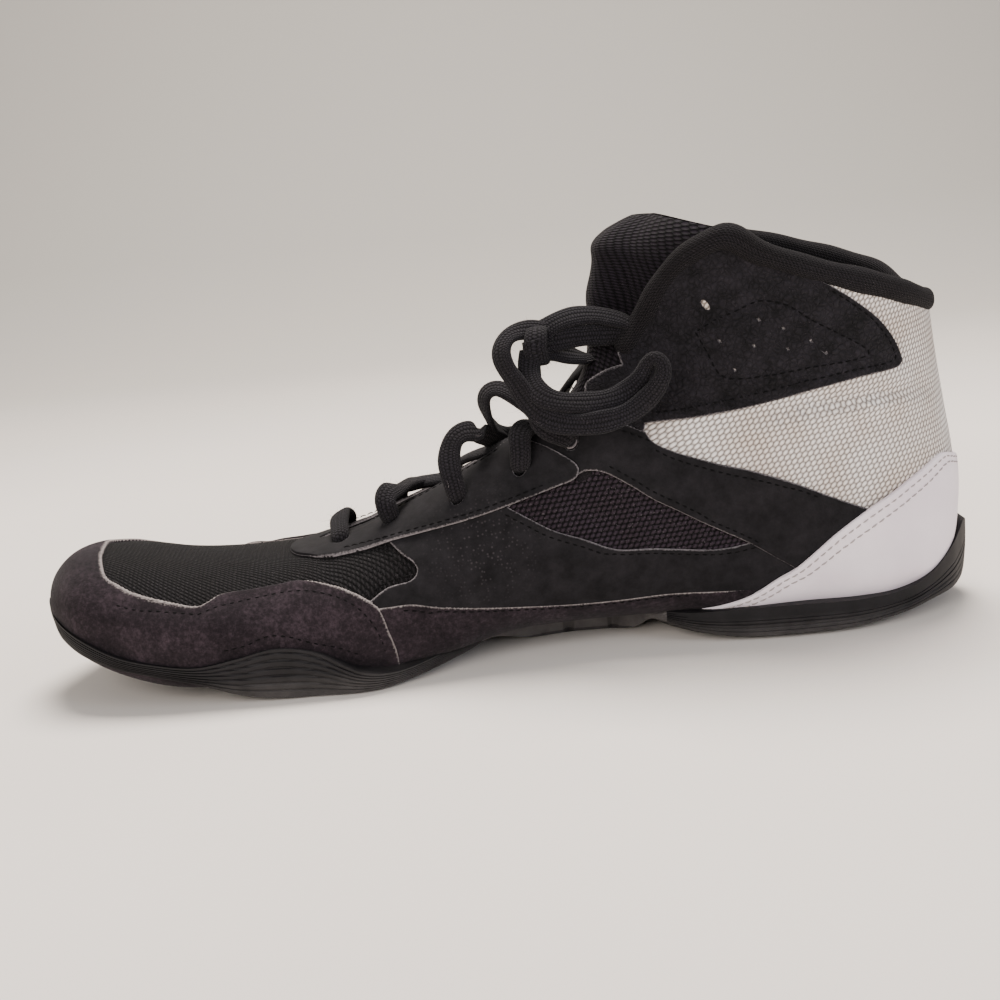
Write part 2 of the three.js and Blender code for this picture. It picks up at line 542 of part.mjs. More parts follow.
const randSurface = gap + panelThickness;
const outsole = toSolid(loft(soleStations.map(soleRing))).subtract(lastForm(randSurface + gap));
addPiece('outsole', outsole, rubber);

// The board closes the foot opening between the turned-in edges of the upper, and the insole
// lies on both.
addPiece('lasting_board', footOpening(gap, boardBottom, boardTop).intersect(lastForm(randSurface)).subtract(cavity), board);

const insoleForm = lastForm(-upperWall - gap);
addPiece('insole', insoleForm.subtract(insoleForm.translate([0, 0, insoleThickness]))
  .intersect(footOpening(-0.4 * lastingMargin, boardBottom, boardTop + insoleThickness)), knit);

// Tongue: a thin skirt under the vamp and eyestays that thickens to a padded top in front of
// the ankle. across goes from -1 at its inner edge to 1 at its outer edge.
const tongueStart = 7.7;
const tongueTop = 22.4;
const tongueStations = 15;
const tongueColumns = 5;

function tonguePoint(across, up, under) {
  const reach = Math.abs(across);
  const topPlace = tongueTop + 0.9 * reach - 1.4 * THREE.MathUtils.smoothstep(reach, 0.7, 1);
  const s = THREE.MathUtils.lerp(tongueStart, topPlace, up);
  const padded = THREE.MathUtils.smoothstep(s, 11, 17);
  const edgeTurn = THREE.MathUtils.lerp(0.2, 0.4, THREE.MathUtils.smoothstep(s, tongueStart, 16));
  const sunk = THREE.MathUtils.lerp(upperWall + gap, upperWall / 2 + collarRadius + 2 * gap, padded);
  const bulge = padded * (1 - THREE.MathUtils.smoothstep(reach, 0.14, 0.42)) * (sunk - 2 * gap);
  const full = THREE.MathUtils.lerp(tongueSkirt, tongueThickness, padded * (1 - reach ** 4));
  const rounded = Math.sqrt(Math.max(1 - (Math.max(up - 0.93, 0) / 0.075) ** 2, 0.05));
  const thickness = full * rounded;
  const out = -sunk + bulge - (full - thickness) / 2 - (under ? thickness : 0);
  return formPoint(s, 1 - edgeTurn * reach, across < 0 ? innerSide : outerSide, out);
}

const tongueRings = Array.from({ length: tongueStations }, (_, i) => {
  const up = Math.sin((Math.PI / 2) * (i / (tongueStations - 1)));
  const columns = Array.from({ length: 2 * tongueColumns + 1 }, (__, k) => k / tongueColumns - 1);
  return [...columns.map((across) => tonguePoint(across, up, false)),
    ...columns.reverse().map((across) => tonguePoint(across, up, true))];
});
const upperRoom = cutBy(lastForm(gap).subtract(lastForm(-upperWall - gap)), [throatCutter(gap), collarCutter(gap)]);
addPiece('tongue', toSolid(loft(tongueRings)).subtract(upperRoom), knit);

// Laces. Each list is the middle line of one strand between its ends, as shares of shoeLength,
// ballWidth and collarHeight. The lace is slack, so some strands stand up in loops.
const lacePaths = {
  bar: [[-0.182, -0.120, 0.383], [-0.182, -0.033, 0.380]],
  lowerInner: [[-0.125, -0.250, 0.450], [-0.113, -0.185, 0.463], [-0.096, -0.109, 0.463],
    [-0.079, -0.022, 0.461], [-0.062, 0.065, 0.460]],
  lowerOuter: [[-0.116, 0.087, 0.415], [-0.103, 0.000, 0.440], [-0.089, -0.076, 0.458], [-0.072, -0.130, 0.484]],
  middleInner: [[-0.057, -0.337, 0.502], [-0.057, -0.315, 0.552], [-0.047, -0.283, 0.583],
    [-0.034, -0.239, 0.592], [-0.017, -0.185, 0.579], [-0.003, -0.120, 0.560],
    [0.010, -0.033, 0.552], [0.021, 0.054, 0.545]],
  middleOuter: [[-0.048, 0.152, 0.469], [-0.043, 0.054, 0.496], [-0.029, -0.033, 0.519], [-0.014, -0.109, 0.545],
    [-0.007, -0.152, 0.564]],
  upperInner: [[0.015, -0.341, 0.562], [0.022, -0.293, 0.600], [0.034, -0.217, 0.623], [0.048, -0.120, 0.643],
    [0.062, -0.022, 0.658], [0.072, 0.065, 0.656]],
  upperOuter: [[0.014, 0.200, 0.526], [0.007, 0.087, 0.557], [-0.003, -0.033, 0.590], [-0.015, -0.141, 0.610],
    [-0.022, -0.217, 0.641], [-0.018, -0.250, 0.674], [-0.005, -0.261, 0.689],
    [0.010, -0.266, 0.678], [0.026, -0.255, 0.651], [0.041, -0.185, 0.640]],
  riserInner: [[0.055, -0.376, 0.559], [0.039, -0.363, 0.583], [0.032, -0.330, 0.633], [0.023, -0.314, 0.681],
    [0.018, -0.287, 0.712]],
  riserOuter: [[0.064, 0.283, 0.545], [0.063, 0.196, 0.617], [0.065, 0.098, 0.686], [0.064, 0.011, 0.734],
    [0.053, -0.076, 0.762]],
  loop: [[-0.002, -0.341, 0.731], [0.008, -0.367, 0.699], [0.021, -0.398, 0.658], [0.039, -0.417, 0.623],
    [0.062, -0.428, 0.603], [0.089, -0.433, 0.597], [0.116, -0.437, 0.610], [0.140, -0.443, 0.641],
    [0.159, -0.450, 0.691], [0.163, -0.446, 0.734], [0.153, -0.435, 0.749], [0.142, -0.424, 0.717],
    [0.128, -0.417, 0.683], [0.103, -0.413, 0.664], [0.075, -0.407, 0.666], [0.053, -0.389, 0.689],
    [0.037, -0.354, 0.731]],
  tail: [[0.057, -0.224, 0.845], [0.079, -0.189, 0.850], [0.101, -0.172, 0.850], [0.118, -0.178, 0.843]],
};
const knotMiddle = new THREE.Vector3(0.016 * shoeLength, -0.272 * ballWidth, 0.793 * collarHeight);
const knotHalf = new THREE.Vector3(1.6, 1.3, 1.4).multiplyScalar(laceDiameter);

// Where a strand comes out of an eyelet and lies down on the eyestay.
const laceLift = 2 * (gap + panelThickness) + gap + laceDiameter / 2;

function overEyelet(places, pair) {
  const { s, turn, side } = places[pair];
  return formPoint(s, turn, side, laceLift);
}

// Where a strand meets the knot, seen from the knot's middle.
function atKnot(dx, dy, dz) {
  const away = new THREE.Vector3(dx, dy, dz).normalize();
  return knotMiddle.clone().addScaledVector(away, 1 / away.clone().divide(knotHalf).length() + 2 * gap);
}

function laceBar(pathName, start, end) {
  const line = lacePaths[pathName].map(([x, y, z]) => new THREE.Vector3(x * shoeLength, y * ballWidth, z * collarHeight));
  const ends = [start, ...line, end].filter((point) => point);
  const length = new THREE.CatmullRomCurve3(ends, false, 'centripetal').getLength();
  return bar(ends, laceDiameter, laceDiameter, laceSides, Math.ceil(length / (2.2 * laceDiameter)));
}

function laceCross(pathName, pair) {
  return laceBar(`${pathName}Inner`, overEyelet(innerPlaces, pair))
    .add(laceBar(`${pathName}Outer`, overEyelet(outerPlaces, pair)));
}

addPiece('lace_bar', laceBar('bar', overEyelet(innerPlaces, 0), overEyelet(outerPlaces, 0)), laceCloth);
addPiece('lace_cross_lower', laceCross('lower', 1), laceCloth);
addPiece('lace_cross_middle', laceCross('middle', 2), laceCloth);
addPiece('lace_cross_upper', laceCross('upper', 3), laceCloth);
addPiece('lace_riser_inner', laceBar('riserInner', overEyelet(innerPlaces, 4), atKnot(0, 0, -1)), laceCloth);
addPiece('lace_riser_outer', laceBar('riserOuter', overEyelet(outerPlaces, 4), atKnot(6, 9, -2)), laceCloth);
addPiece('lace_loop', laceBar('loop', atKnot(-5, -6, -5), atKnot(4, -5, -5)), laceCloth);
addPiece('lace_tail', laceBar('tail', atKnot(8, 3, 6)), laceCloth);

const knot = new THREE.SphereGeometry(1, 12, 8);
knot.scale(...knotHalf);
knot.translate(...knotMiddle);
addPiece('lace_knot', toSolid(knot), laceCloth);

// The origin lies on the ground under the middle of the shoe.
const bounds = new THREE.Box3().setFromObject(group);
group.position.set(-(bounds.min.x + bounds.max.x) / 2, -(bounds.min.y + bounds.max.y) / 2, -bounds.min.z);

export default group;
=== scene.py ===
import math

import bmesh
import bpy
import numpy as np
from mathutils import Matrix, Vector
from mathutils.geometry import delaunay_2d_cdt
from mathutils.kdtree import KDTree


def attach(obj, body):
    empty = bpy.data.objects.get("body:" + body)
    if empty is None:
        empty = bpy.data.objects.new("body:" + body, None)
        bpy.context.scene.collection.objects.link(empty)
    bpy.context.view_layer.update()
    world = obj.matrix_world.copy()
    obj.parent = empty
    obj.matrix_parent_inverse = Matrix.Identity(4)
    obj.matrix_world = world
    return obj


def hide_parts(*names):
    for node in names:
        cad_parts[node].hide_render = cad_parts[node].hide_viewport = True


# A worn black and white wrestling shoe for the right foot, standing empty on its sole.
# Metres; the toe points along -X and the inner side, which the camera sees, faces -Y.
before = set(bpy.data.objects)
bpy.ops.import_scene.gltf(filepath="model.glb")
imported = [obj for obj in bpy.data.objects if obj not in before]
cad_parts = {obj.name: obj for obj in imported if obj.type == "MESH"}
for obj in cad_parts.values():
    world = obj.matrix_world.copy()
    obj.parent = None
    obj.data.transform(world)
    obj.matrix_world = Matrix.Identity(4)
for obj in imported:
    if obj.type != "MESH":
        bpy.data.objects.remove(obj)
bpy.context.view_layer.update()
random = np.random.default_rng(11)
mm = 0.001


# camera, floor and lights
camera = {
    "place": (-0.00244, -0.4735, 0.14755),
    "pitch": math.radians(12.283),
    "roll": math.radians(5.3),
    "lens": 54.0,
}


def makeCamera(look):
    ahead = Vector((0, math.cos(look["pitch"]), -math.sin(look["pitch"])))
    up = Vector((0, math.sin(look["pitch"]), math.cos(look["pitch"])))
    right = Vector((1, 0, 0))
    turnedRight = math.cos(look["roll"]) * right - math.sin(look["roll"]) * up
    turnedUp = math.sin(look["roll"]) * right + math.cos(look["roll"]) * up
    data = bpy.data.cameras.new("photoCamera")
    data.lens = look["lens"]
    data.clip_start = 0.01
    data.clip_end = 20
    piece = bpy.data.objects.new("photoCamera", data)
    turn = Matrix((turnedRight, turnedUp, -ahead)).transposed().to_4x4()
    piece.matrix_world = Matrix.Translation(look["place"]) @ turn
    bpy.context.scene.collection.objects.link(piece)
    bpy.context.scene.camera = piece


makeCamera(camera)


def toLinear(code):
    parts = [int(code[i:i + 2], 16) / 255 for i in (1, 3, 5)]
    return (*[c / 12.92 if c <= 0.04045 else ((c + 0.055) / 1.055) ** 2.4 for c in parts], 1.0)


# One node of a material and the socket wanted of it. Inputs are sockets to link from, or plain values.
def addNode(tree, kind, inputs=(), out=0, stops=(), **settings):
    node = tree.nodes.new("ShaderNode" + kind)
    for key, value in settings.items():
        setattr(node, key, value)
    for key, value in inputs.items() if isinstance(inputs, dict) else enumerate(inputs):
        if isinstance(value, bpy.types.NodeSocket):
            tree.links.new(value, node.inputs[key])
        else:
            node.inputs[key].default_value = toLinear(value) if isinstance(value, str) else value
    for i, (place, colour) in enumerate(stops):
        elements = node.color_ramp.elements
        element = elements[i] if i < len(elements) else elements.new(place)
        element.position = place
        element.color = toLinear(colour)
    return node.outputs[out]


def newMaterial(name, settings):
    material = bpy.data.materials.new(name)
    material.use_nodes = True
    shader = material.node_tree.nodes["Principled BSDF"]
    for key, value in settings.items():
        shader.inputs[key].default_value = value
    return material, material.node_tree, shader


# the surface of the last, section by section from the toe to above the collar
last = {"length": 0.292, "collar": 0.121, "ball": 0.092, "shift": (-0.0005, 0.0012, 0.0)}
sectionColumns = ("lowX", "lowZ", "highX", "highZ", "ridge", "inner", "outer", "widest", "seat",
                  "innerCrown", "outerCrown", "belly")
sectionRows = np.array([
    (-0.494, 0.244, -0.494, 0.244, -0.130, 0.000, 0.000, 0.45, 0.60, 2.0, 2.0, 2.0),
    (-0.492, 0.218, -0.492, 0.277, -0.130, 0.082, 0.082, 0.45, 0.60, 2.0, 2.0, 2.0),
    (-0.486, 0.192, -0.486, 0.310, -0.125, 0.158, 0.163, 0.42, 0.70, 2.1, 2.1, 2.0),
    (-0.471, 0.160, -0.471, 0.339, -0.120, 0.239, 0.255, 0.40, 0.78, 2.2, 2.2, 2.0),
    (-0.446, 0.126, -0.446, 0.349, -0.120, 0.310, 0.337, 0.40, 0.84, 2.3, 2.3, 2.0),
    (-0.408, 0.090, -0.408, 0.342, -0.120, 0.359, 0.413, 0.38, 0.87, 2.3, 2.3, 2.0),
    (-0.358, 0.061, -0.358, 0.317, -0.125, 0.391, 0.489, 0.36, 0.88, 2.3, 2.2, 2.0),
    (-0.299, 0.046, -0.299, 0.306, -0.136, 0.386, 0.554, 0.34, 0.88, 2.3, 2.1, 2.0),
    (-0.226, 0.044, -0.226, 0.309, -0.158, 0.359, 0.620, 0.33, 0.88, 2.2, 2.0, 2.0),
    (-0.153, 0.048, -0.153, 0.352, -0.185, 0.310, 0.652, 0.32, 0.87, 2.1, 1.9, 2.0),
    (-0.080, 0.064, -0.080, 0.424, -0.196, 0.261, 0.652, 0.32, 0.84, 2.0, 1.85, 2.0),
    (-0.007, 0.080, -0.010, 0.516, -0.196, 0.217, 0.630, 0.32, 0.80, 2.0, 1.85, 2.0),
    (0.073, 0.084, 0.040, 0.592, -0.174, 0.207, 0.576, 0.33, 0.78, 2.0, 1.9, 2.0),
    (0.159, 0.078, 0.075, 0.668, -0.130, 0.245, 0.511, 0.35, 0.78, 2.0, 1.95, 2.0),
    (0.246, 0.068, 0.093, 0.736, -0.087, 0.288, 0.462, 0.37, 0.78, 2.0, 2.0, 2.0),
    (0.325, 0.064, 0.101, 0.792, -0.054, 0.315, 0.429, 0.39, 0.76, 2.0, 2.0, 2.0),
    (0.395, 0.066, 0.106, 0.840, -0.033, 0.337, 0.408, 0.41, 0.70, 2.0, 2.0, 2.0),
    (0.448, 0.088, 0.109, 0.876, -0.011, 0.359, 0.386, 0.43, 0.52, 2.0, 2.0, 2.1),
    (0.479, 0.168, 0.112, 0.912, 0.000, 0.370, 0.380, 0.45, 0.25, 2.0, 2.0, 2.2),
    (0.491, 0.280, 0.114, 0.948, 0.000, 0.370, 0.380, 0.47, 0.08, 2.0, 2.0, 2.2),
    (0.491, 0.400, 0.117, 0.984, 0.000, 0.370, 0.375, 0.48, 0.06, 2.0, 2.0, 2.1),
    (0.484, 0.528, 0.118, 1.020, 0.000, 0.364, 0.370, 0.49, 0.06, 2.0, 2.0, 2.1),
    (0.476, 0.656, 0.120, 1.056, 0.000, 0.364, 0.370, 0.50, 0.06, 2.0, 2.0, 2.1),
    (0.471, 0.776, 0.122, 1.096, 0.000, 0.370, 0.375, 0.50, 0.06, 2.0, 2.0, 2.1),
    (0.468, 0.888, 0.123, 1.140, 0.000, 0.375, 0.380, 0.50, 0.06, 2.0, 2.0, 2.1),
])
lastSection = len(sectionRows) - 1
backWidth = 0.12  # share of a half turn that the flat at the low end of a section takes
# the inner waist is tucked under the arch between these sections
archTuck = {"amount": 0.5, "rise": (10.0, 11.2), "fall": (12.8, 14.2)}


def smoothstep(value, low, high):
    t = np.clip((value - low) / (high - low), 0, 1)
    return t * t * (3 - 2 * t)


def along(table, s):
    s = np.clip(np.asarray(s, float), 0, len(table) - 1)
    i = np.clip(np.floor(s).astype(int), 0, len(table) - 2)
    t = (s - i)[..., None]
    b, c = table[i], table[i + 1]
    a = np.where((i > 0)[..., None], table[np.maximum(i - 1, 0)], 2 * b - c)
    d = np.where((i < len(table) - 2)[..., None], table[np.minimum(i + 2, len(table) - 1)], 2 * c - b)
    return 0.5 * (2 * b + (c - a) * t + (2 * a - 5 * b + 4 * c - d) * t**2 + (3 * b - a - 3 * c + d) * t**3)


# s counts the sections. v is 0 on the ridge, -1 and 1 at the low ends of the inner and outer
# half, and runs on over the flat between them.
def skin(s, v):
    s, v = np.broadcast_arrays(np.asarray(s, float), np.asarray(v, float))
    around = 2 + backWidth
    v = (v + around / 2) % around - around / 2
    over = np.clip(np.abs(v) - 1, 0, None) / backWidth
    at = dict(zip(sectionColumns, np.moveaxis(along(sectionRows, s), -1, 0)))
    sign = np.where(v < 0, -1.0, 1.0)
    turn = 1 - np.minimum(np.abs(v), 1)
    low = turn <= 0.5
    power = 2 / np.where(low, at["belly"], np.where(v < 0, at["innerCrown"], at["outerCrown"]))
    rise = np.abs(np.cos(turn * math.pi)) ** power
    spread = np.clip(np.sin(turn * math.pi), 0, None) ** power
    height = np.where(low, at["widest"] * (1 - rise), at["widest"] + (1 - at["widest"]) * rise)
    tuck = archTuck["amount"] * smoothstep(s, *archTuck["rise"]) * (1 - smoothstep(s, *archTuck["fall"]))
    seat = at["seat"] * np.where(v < 0, 1 - tuck, 1)
    share = np.where(low, seat + (1 - seat) * spread, spread)
    half = last["ball"] * np.where(v < 0, at["inner"], at["outer"])
    x = last["length"] * (at["lowX"] + (at["highX"] - at["lowX"]) * height)
    z = last["collar"] * (at["lowZ"] + (at["highZ"] - at["lowZ"]) * height)
    y = sign * half * share
    across = last["ball"] * at["seat"] * (at["inner"] * (1 - tuck) + at["outer"])
    y = last["ball"] * at["ridge"] + y - sign * over * across
    return np.stack([x, y, z], -1) + np.array(last["shift"])


def skinNormal(s, v):
    s = np.clip(np.asarray(s, float), 0.04, lastSection - 0.03)
    lengthwise = skin(s + 0.02, v) - skin(s - 0.02, v)
    crosswise = skin(s, v + 0.012) - skin(s, v - 0.012)
    normal = np.cross(lengthwise, crosswise)
    return normal / np.maximum(np.linalg.norm(normal, axis=-1, keepdims=True), 1e-12)


gridS, gridV = [g.ravel() for g in np.meshgrid(np.linspace(0.05, lastSection - 0.05, 400),
                                               np.linspace(-1, 1, 201), indexing="ij")]
gridPoints = skin(gridS, gridV)


# Where on the skin a view from the side or from above shows the given marks.
def locate(marks, axes, keep):
    marks = np.asarray(marks, float)
    places = np.stack([gridS[keep], gridV[keep]], -1)
    seen = gridPoints[keep][:, axes]
    found = np.array([places[np.argmin(((seen - m) ** 2).sum(1))] for m in marks])
    for _ in range(6):
        here = skin(found[:, 0], found[:, 1])[:, axes]
        ds = (skin(found[:, 0] + 1e-3, found[:, 1])[:, axes] - here) / 1e-3
        dv = (skin(found[:, 0], found[:, 1] + 1e-4)[:, axes] - here) / 1e-4
        miss = marks - here
        det = ds[:, 0] * dv[:, 1] - ds[:, 1] * dv[:, 0]
        det = np.where(np.abs(det) < 1e-9, 1e9, det)
        found[:, 0] += np.clip((miss[:, 0] * dv[:, 1] - miss[:, 1] * dv[:, 0]) / det, -0.2, 0.2)
        found[:, 1] += np.clip((ds[:, 0] * miss[:, 1] - ds[:, 1] * miss[:, 0]) / det, -0.02, 0.02)
        found[:, 0] = np.clip(found[:, 0], 0.01, lastSection)
        found[:, 1] = np.clip(found[:, 1], -1, 1)
    return found


def curveThrough(points, step, closed=False):
    points = np.asarray(points, float)
    if closed:
        padded = np.concatenate([points[-1:], points, points[:2]])
    else:
        padded = np.concatenate([2 * points[:1] - points[1:2], points, 2 * points[-1:] - points[-2:-1]])
    parts = []
    for a, b, c, d in zip(padded, padded[1:], padded[2:], padded[3:]):
        t = (np.arange(max(math.ceil(np.linalg.norm(c - b) / step), 1)) /
             max(math.ceil(np.linalg.norm(c - b) / step), 1))[:, None]
        parts.append(0.5 * (2 * b + (c - a) * t + (2 * a - 5 * b + 4 * c - d) * t**2
                            + (3 * b - a - 3 * c + d) * t**3))
    if not closed:
        parts.append(points[-1:])
    return np.concatenate(parts)


# A line of the side view, in shares of the length and the collar height, as places on one side.
def sideLine(shares, side, smooth=True):
    marks = np.array(shares, float) * (last["length"], last["collar"])
    if smooth and len(marks) > 2:
        marks = curveThrough(marks, 1.2 * mm)
    marks = marks + (last["shift"][0], last["shift"][2])
    return locate(marks, [0, 2], gridV < -0.001 if side < 0 else gridV > 0.001)


def planLine(shares):
    marks = curveThrough(np.array(shares, float) * (last["length"], last["ball"]), 1.2 * mm)
    return locate(marks + last["shift"][:2], [0, 1], (np.abs(gridV) < 0.62) & (gridS < 16))


# soft folds and dents of the worn upper, placed on the side view
folds = [
    # side, line in shares, height (mm, below 0 is a trough), half width (mm)
    (-1, [(0.235, 0.555), (0.300, 0.585), (0.360, 0.597), (0.430, 0.597), (0.470, 0.585)], -1.7, 2.2),
    (-1, [(0.245, 0.530), (0.310, 0.560), (0.380, 0.572), (0.450, 0.570)], 1.5, 2.2),
    (1, [(0.240, 0.540), (0.310, 0.575), (0.380, 0.590), (0.470, 0.580)], -0.9, 2.2),
    (-1, [(-0.205, 0.315), (-0.190, 0.280), (-0.186, 0.245)], -0.7, 2.6),
    (-1, [(-0.300, 0.305), (-0.285, 0.285), (-0.262, 0.262)], -0.6, 3.0),
    (-1, [(-0.330, 0.220), (-0.300, 0.195), (-0.262, 0.180)], 0.7, 5.0),
    (-1, [(-0.240, 0.215), (-0.210, 0.190), (-0.170, 0.150)], -0.5, 4.0),
    (1, [(-0.215, 0.300), (-0.200, 0.250), (-0.190, 0.190)], -0.7, 3.0),
    (1, [(-0.290, 0.280), (-0.270, 0.240), (-0.255, 0.190)], -0.6, 3.2),
    (-1, [(0.085, 0.500), (0.110, 0.470), (0.150, 0.420), (0.200, 0.350)], 0.5, 3.0),
    (-1, [(0.180, 0.700), (0.220, 0.640), (0.280, 0.610)], -0.5, 3.5),
    (-1, [(0.420, 0.700), (0.440, 0.640), (0.455, 0.560)], -0.5, 4.0),
]
foldPaths = []
for side, shares, height, width in folds:
    places = sideLine(shares, side)
    foldPaths.append((skin(places[:, 0], places[:, 1]), height * mm, width * mm))


def relief(points):
    total = np.zeros(len(points))
    for path, height, width in foldPaths:
        low, high = path.min(0) - 3 * width, path.max(0) + 3 * width
        near = np.flatnonzero(((points > low) & (points < high)).all(1))
        if len(near) == 0:
            continue
        gap = np.linalg.norm(points[near, None] - path[None], axis=2)
        nearest = gap.argmin(1)
        place = nearest / (len(path) - 1)
        fade = np.sin(np.clip(place, 0.04, 0.96) * math.pi) ** 0.6
        total[near] += height * fade * np.exp(-(gap.min(1) / width) ** 2)
    x, y, z = points.T / mm
    total += 0.16 * mm * np.sin(x / 9.0 + 1.3 * np.sin(z / 11.0)) * np.sin(y / 8.0 + z / 13.0)
    return total


def onSkin(places, out=0.0):
    s, v = np.asarray(places, float).T
    base = skin(s, v)
    return base + skinNormal(s, v) * (out + relief(base))[:, None]


# meshes
def newPiece(name, vertices, faces, material, smoothAngle=50.0, uv=None, rim=None, faceMaterials=None):
    mesh = bpy.data.meshes.new(name)
    mesh.from_pydata([tuple(p) for p in vertices], [], [tuple(f) for f in faces])
    if uv is not None:
        layer = mesh.uv_layers.new(name="weave")
        corner = np.zeros(len(mesh.loops), np.int32)
        mesh.loops.foreach_get("vertex_index", corner)
        layer.data.foreach_set("uv", np.asarray(uv, np.float32)[corner].ravel())
    if rim is not None:
        mesh.attributes.new("rim", "FLOAT", "POINT").data.foreach_set("value", np.asarray(rim, np.float32))
    materials = material if isinstance(material, (list, tuple)) else [material]
    for one in materials:
        mesh.materials.append(one)
    if faceMaterials is not None:
        mesh.polygons.foreach_set("material_index", np.asarray(faceMaterials, np.int32))
    work = bmesh.new()
    work.from_mesh(mesh)
    bmesh.ops.remove_doubles(work, verts=work.verts, dist=2e-6)
    bmesh.ops.dissolve_degenerate(work, edges=work.edges, dist=1e-7)
    work.to_mesh(mesh)
    work.free()
    mesh.polygons.foreach_set("use_smooth", [True] * len(mesh.polygons))
    mesh.set_sharp_from_angle(angle=math.radians(smoothAngle))
    piece = bpy.data.objects.new(name, mesh)
    bpy.context.scene.collection.objects.link(piece)
    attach(piece, "root")
    return piece


planeScale = np.array([12.2 * mm, 75 * mm])  # about how long one step of s and of v is


def isInside(points, loops):
    odd = np.zeros(len(points), bool)
    x, y = points.T
    for loop in loops:
        for (ax, ay), (bx, by) in zip(loop, np.roll(loop, -1, 0)):
            if ay == by:
                continue
            crossed = (ay > y) != (by > y)
            odd ^= crossed & (x < (bx - ax) * (y - ay) / (by - ay) + ax)
    return odd


def treeOf(points):
    tree = KDTree(len(points))
    for i, p in enumerate(points):
        tree.insert((*p, 0.0) if len(p) == 2 else p, i)
    tree.balance()
    return tree


def distances(tree, points):
    return np.array([tree.find((*p, 0.0) if len(p) == 2 else p)[2] for p in points])


def densify(loop, step):
    parts = []
    for a, b in zip(loop, np.roll(loop, -1, 0)):
        count = max(math.ceil(np.linalg.norm(b - a) / step), 1)
        parts.append(a + (b - a) * (np.arange(count) / count)[:, None])
    return np.concatenate(parts)


# Fills an outline (with holes after it) with triangles, closer together along the edges.
def fill(loops, spacing, edgeStep, rings, lines=()):
    flat = []
    for loop in loops:
        loop = densify(loop * planeScale, edgeStep)
        keep = np.linalg.norm(loop - np.roll(loop, 1, 0), axis=1) > 0.15 * edgeStep
        flat.append(loop[keep])
    edges, points = [], []
    for loop in flat:
        start = sum(len(p) for p in points)
        edges += [(start + i, start + (i + 1) % len(loop)) for i in range(len(loop))]
        points.append(loop)
    tree = treeOf(np.concatenate(flat))
    inner = []
    for loop in flat:
        way = np.roll(loop, -1, 0) - np.roll(loop, 1, 0)
        normal = np.stack([-way[:, 1], way[:, 0]], -1)
        normal /= np.maximum(np.linalg.norm(normal, axis=1, keepdims=True), 1e-12)
        for ring in rings:
            for sign in (-1, 1):
                spots = loop + sign * ring * normal
                spots = spots[isInside(spots, flat)]
                inner.append(spots[distances(tree, spots) > 0.85 * ring] if len(spots) else spots)
    for line in lines:
        spots = line * planeScale
        spots = spots[isInside(spots, flat)]
        inner.append(spots[distances(tree, spots) > 0.5 * edgeStep] if len(spots) else spots)
    low, high = flat[0].min(0), flat[0].max(0)
    xs = np.arange(low[0], high[0], spacing)
    ys = np.arange(low[1], high[1], spacing * 0.866)
    gx, gy = np.meshgrid(xs, ys, indexing="ij")
    gx = gx + spacing * 0.5 * (np.arange(len(ys)) % 2)[None]
    spots = np.stack([gx.ravel(), gy.ravel()], -1)
    spots = spots[isInside(spots, flat)]
    inner.append(spots[distances(tree, spots) > (rings[-1] if rings else 0) + 0.35 * spacing])
    everything = np.concatenate(points + inner)
    made = delaunay_2d_cdt([Vector(p) for p in everything], edges, [], 0, 1e-8)
    vertices = np.array([tuple(p) for p in made[0]])
    triangles = np.array(made[2])
    middle = vertices[triangles].mean(1)
    return vertices / planeScale, triangles[isInside(middle, flat)]


def weaveSpace(points):
    # a flat map of the ankle in millimetres: round the heel on one axis, up the leg on the other
    x, y, z = (points / mm).T
    angle = np.arctan2(y / 35, (x - 88) / 56)
    return np.stack([angle * 47, z], -1)


def topSpace(points):
    return points[:, :2] / mm


def sideSpace(points):
    return points[:, [0, 2]] / mm


# How much wider (above 0) or narrower the pale raw edge is near some places of the side view.
wearSpots = [
    # shares of the side view, reach (mm), gain
    ((-0.405, 0.295), 16, 1.5), ((-0.350, 0.255), 11, 1.2), ((-0.270, 0.262), 14, -0.55),
    ((-0.180, 0.258), 12, 0.7), ((-0.130, 0.100), 12, 0.6), ((-0.236, 0.325), 8, -0.95),
    ((-0.220, 0.345), 9, -0.9), ((-0.150, 0.330), 14, 0.3),
    ((0.070, 0.480), 12, 0.3), ((0.110, 0.700), 9, 1.6), ((0.219, 0.858), 4, -0.7), ((0.250, 0.139), 9, -0.8),
]


def wear(points):
    total = np.ones(len(points))
    for (x, z), reach, gain in wearSpots:
        spot = np.array([x * last["length"] + last["shift"][0], z * last["collar"]])
        total += gain * np.exp(-(np.linalg.norm(points[:, [0, 2]] - spot, axis=1) / (reach * mm)) ** 2)
    return np.maximum(total, 0.12)


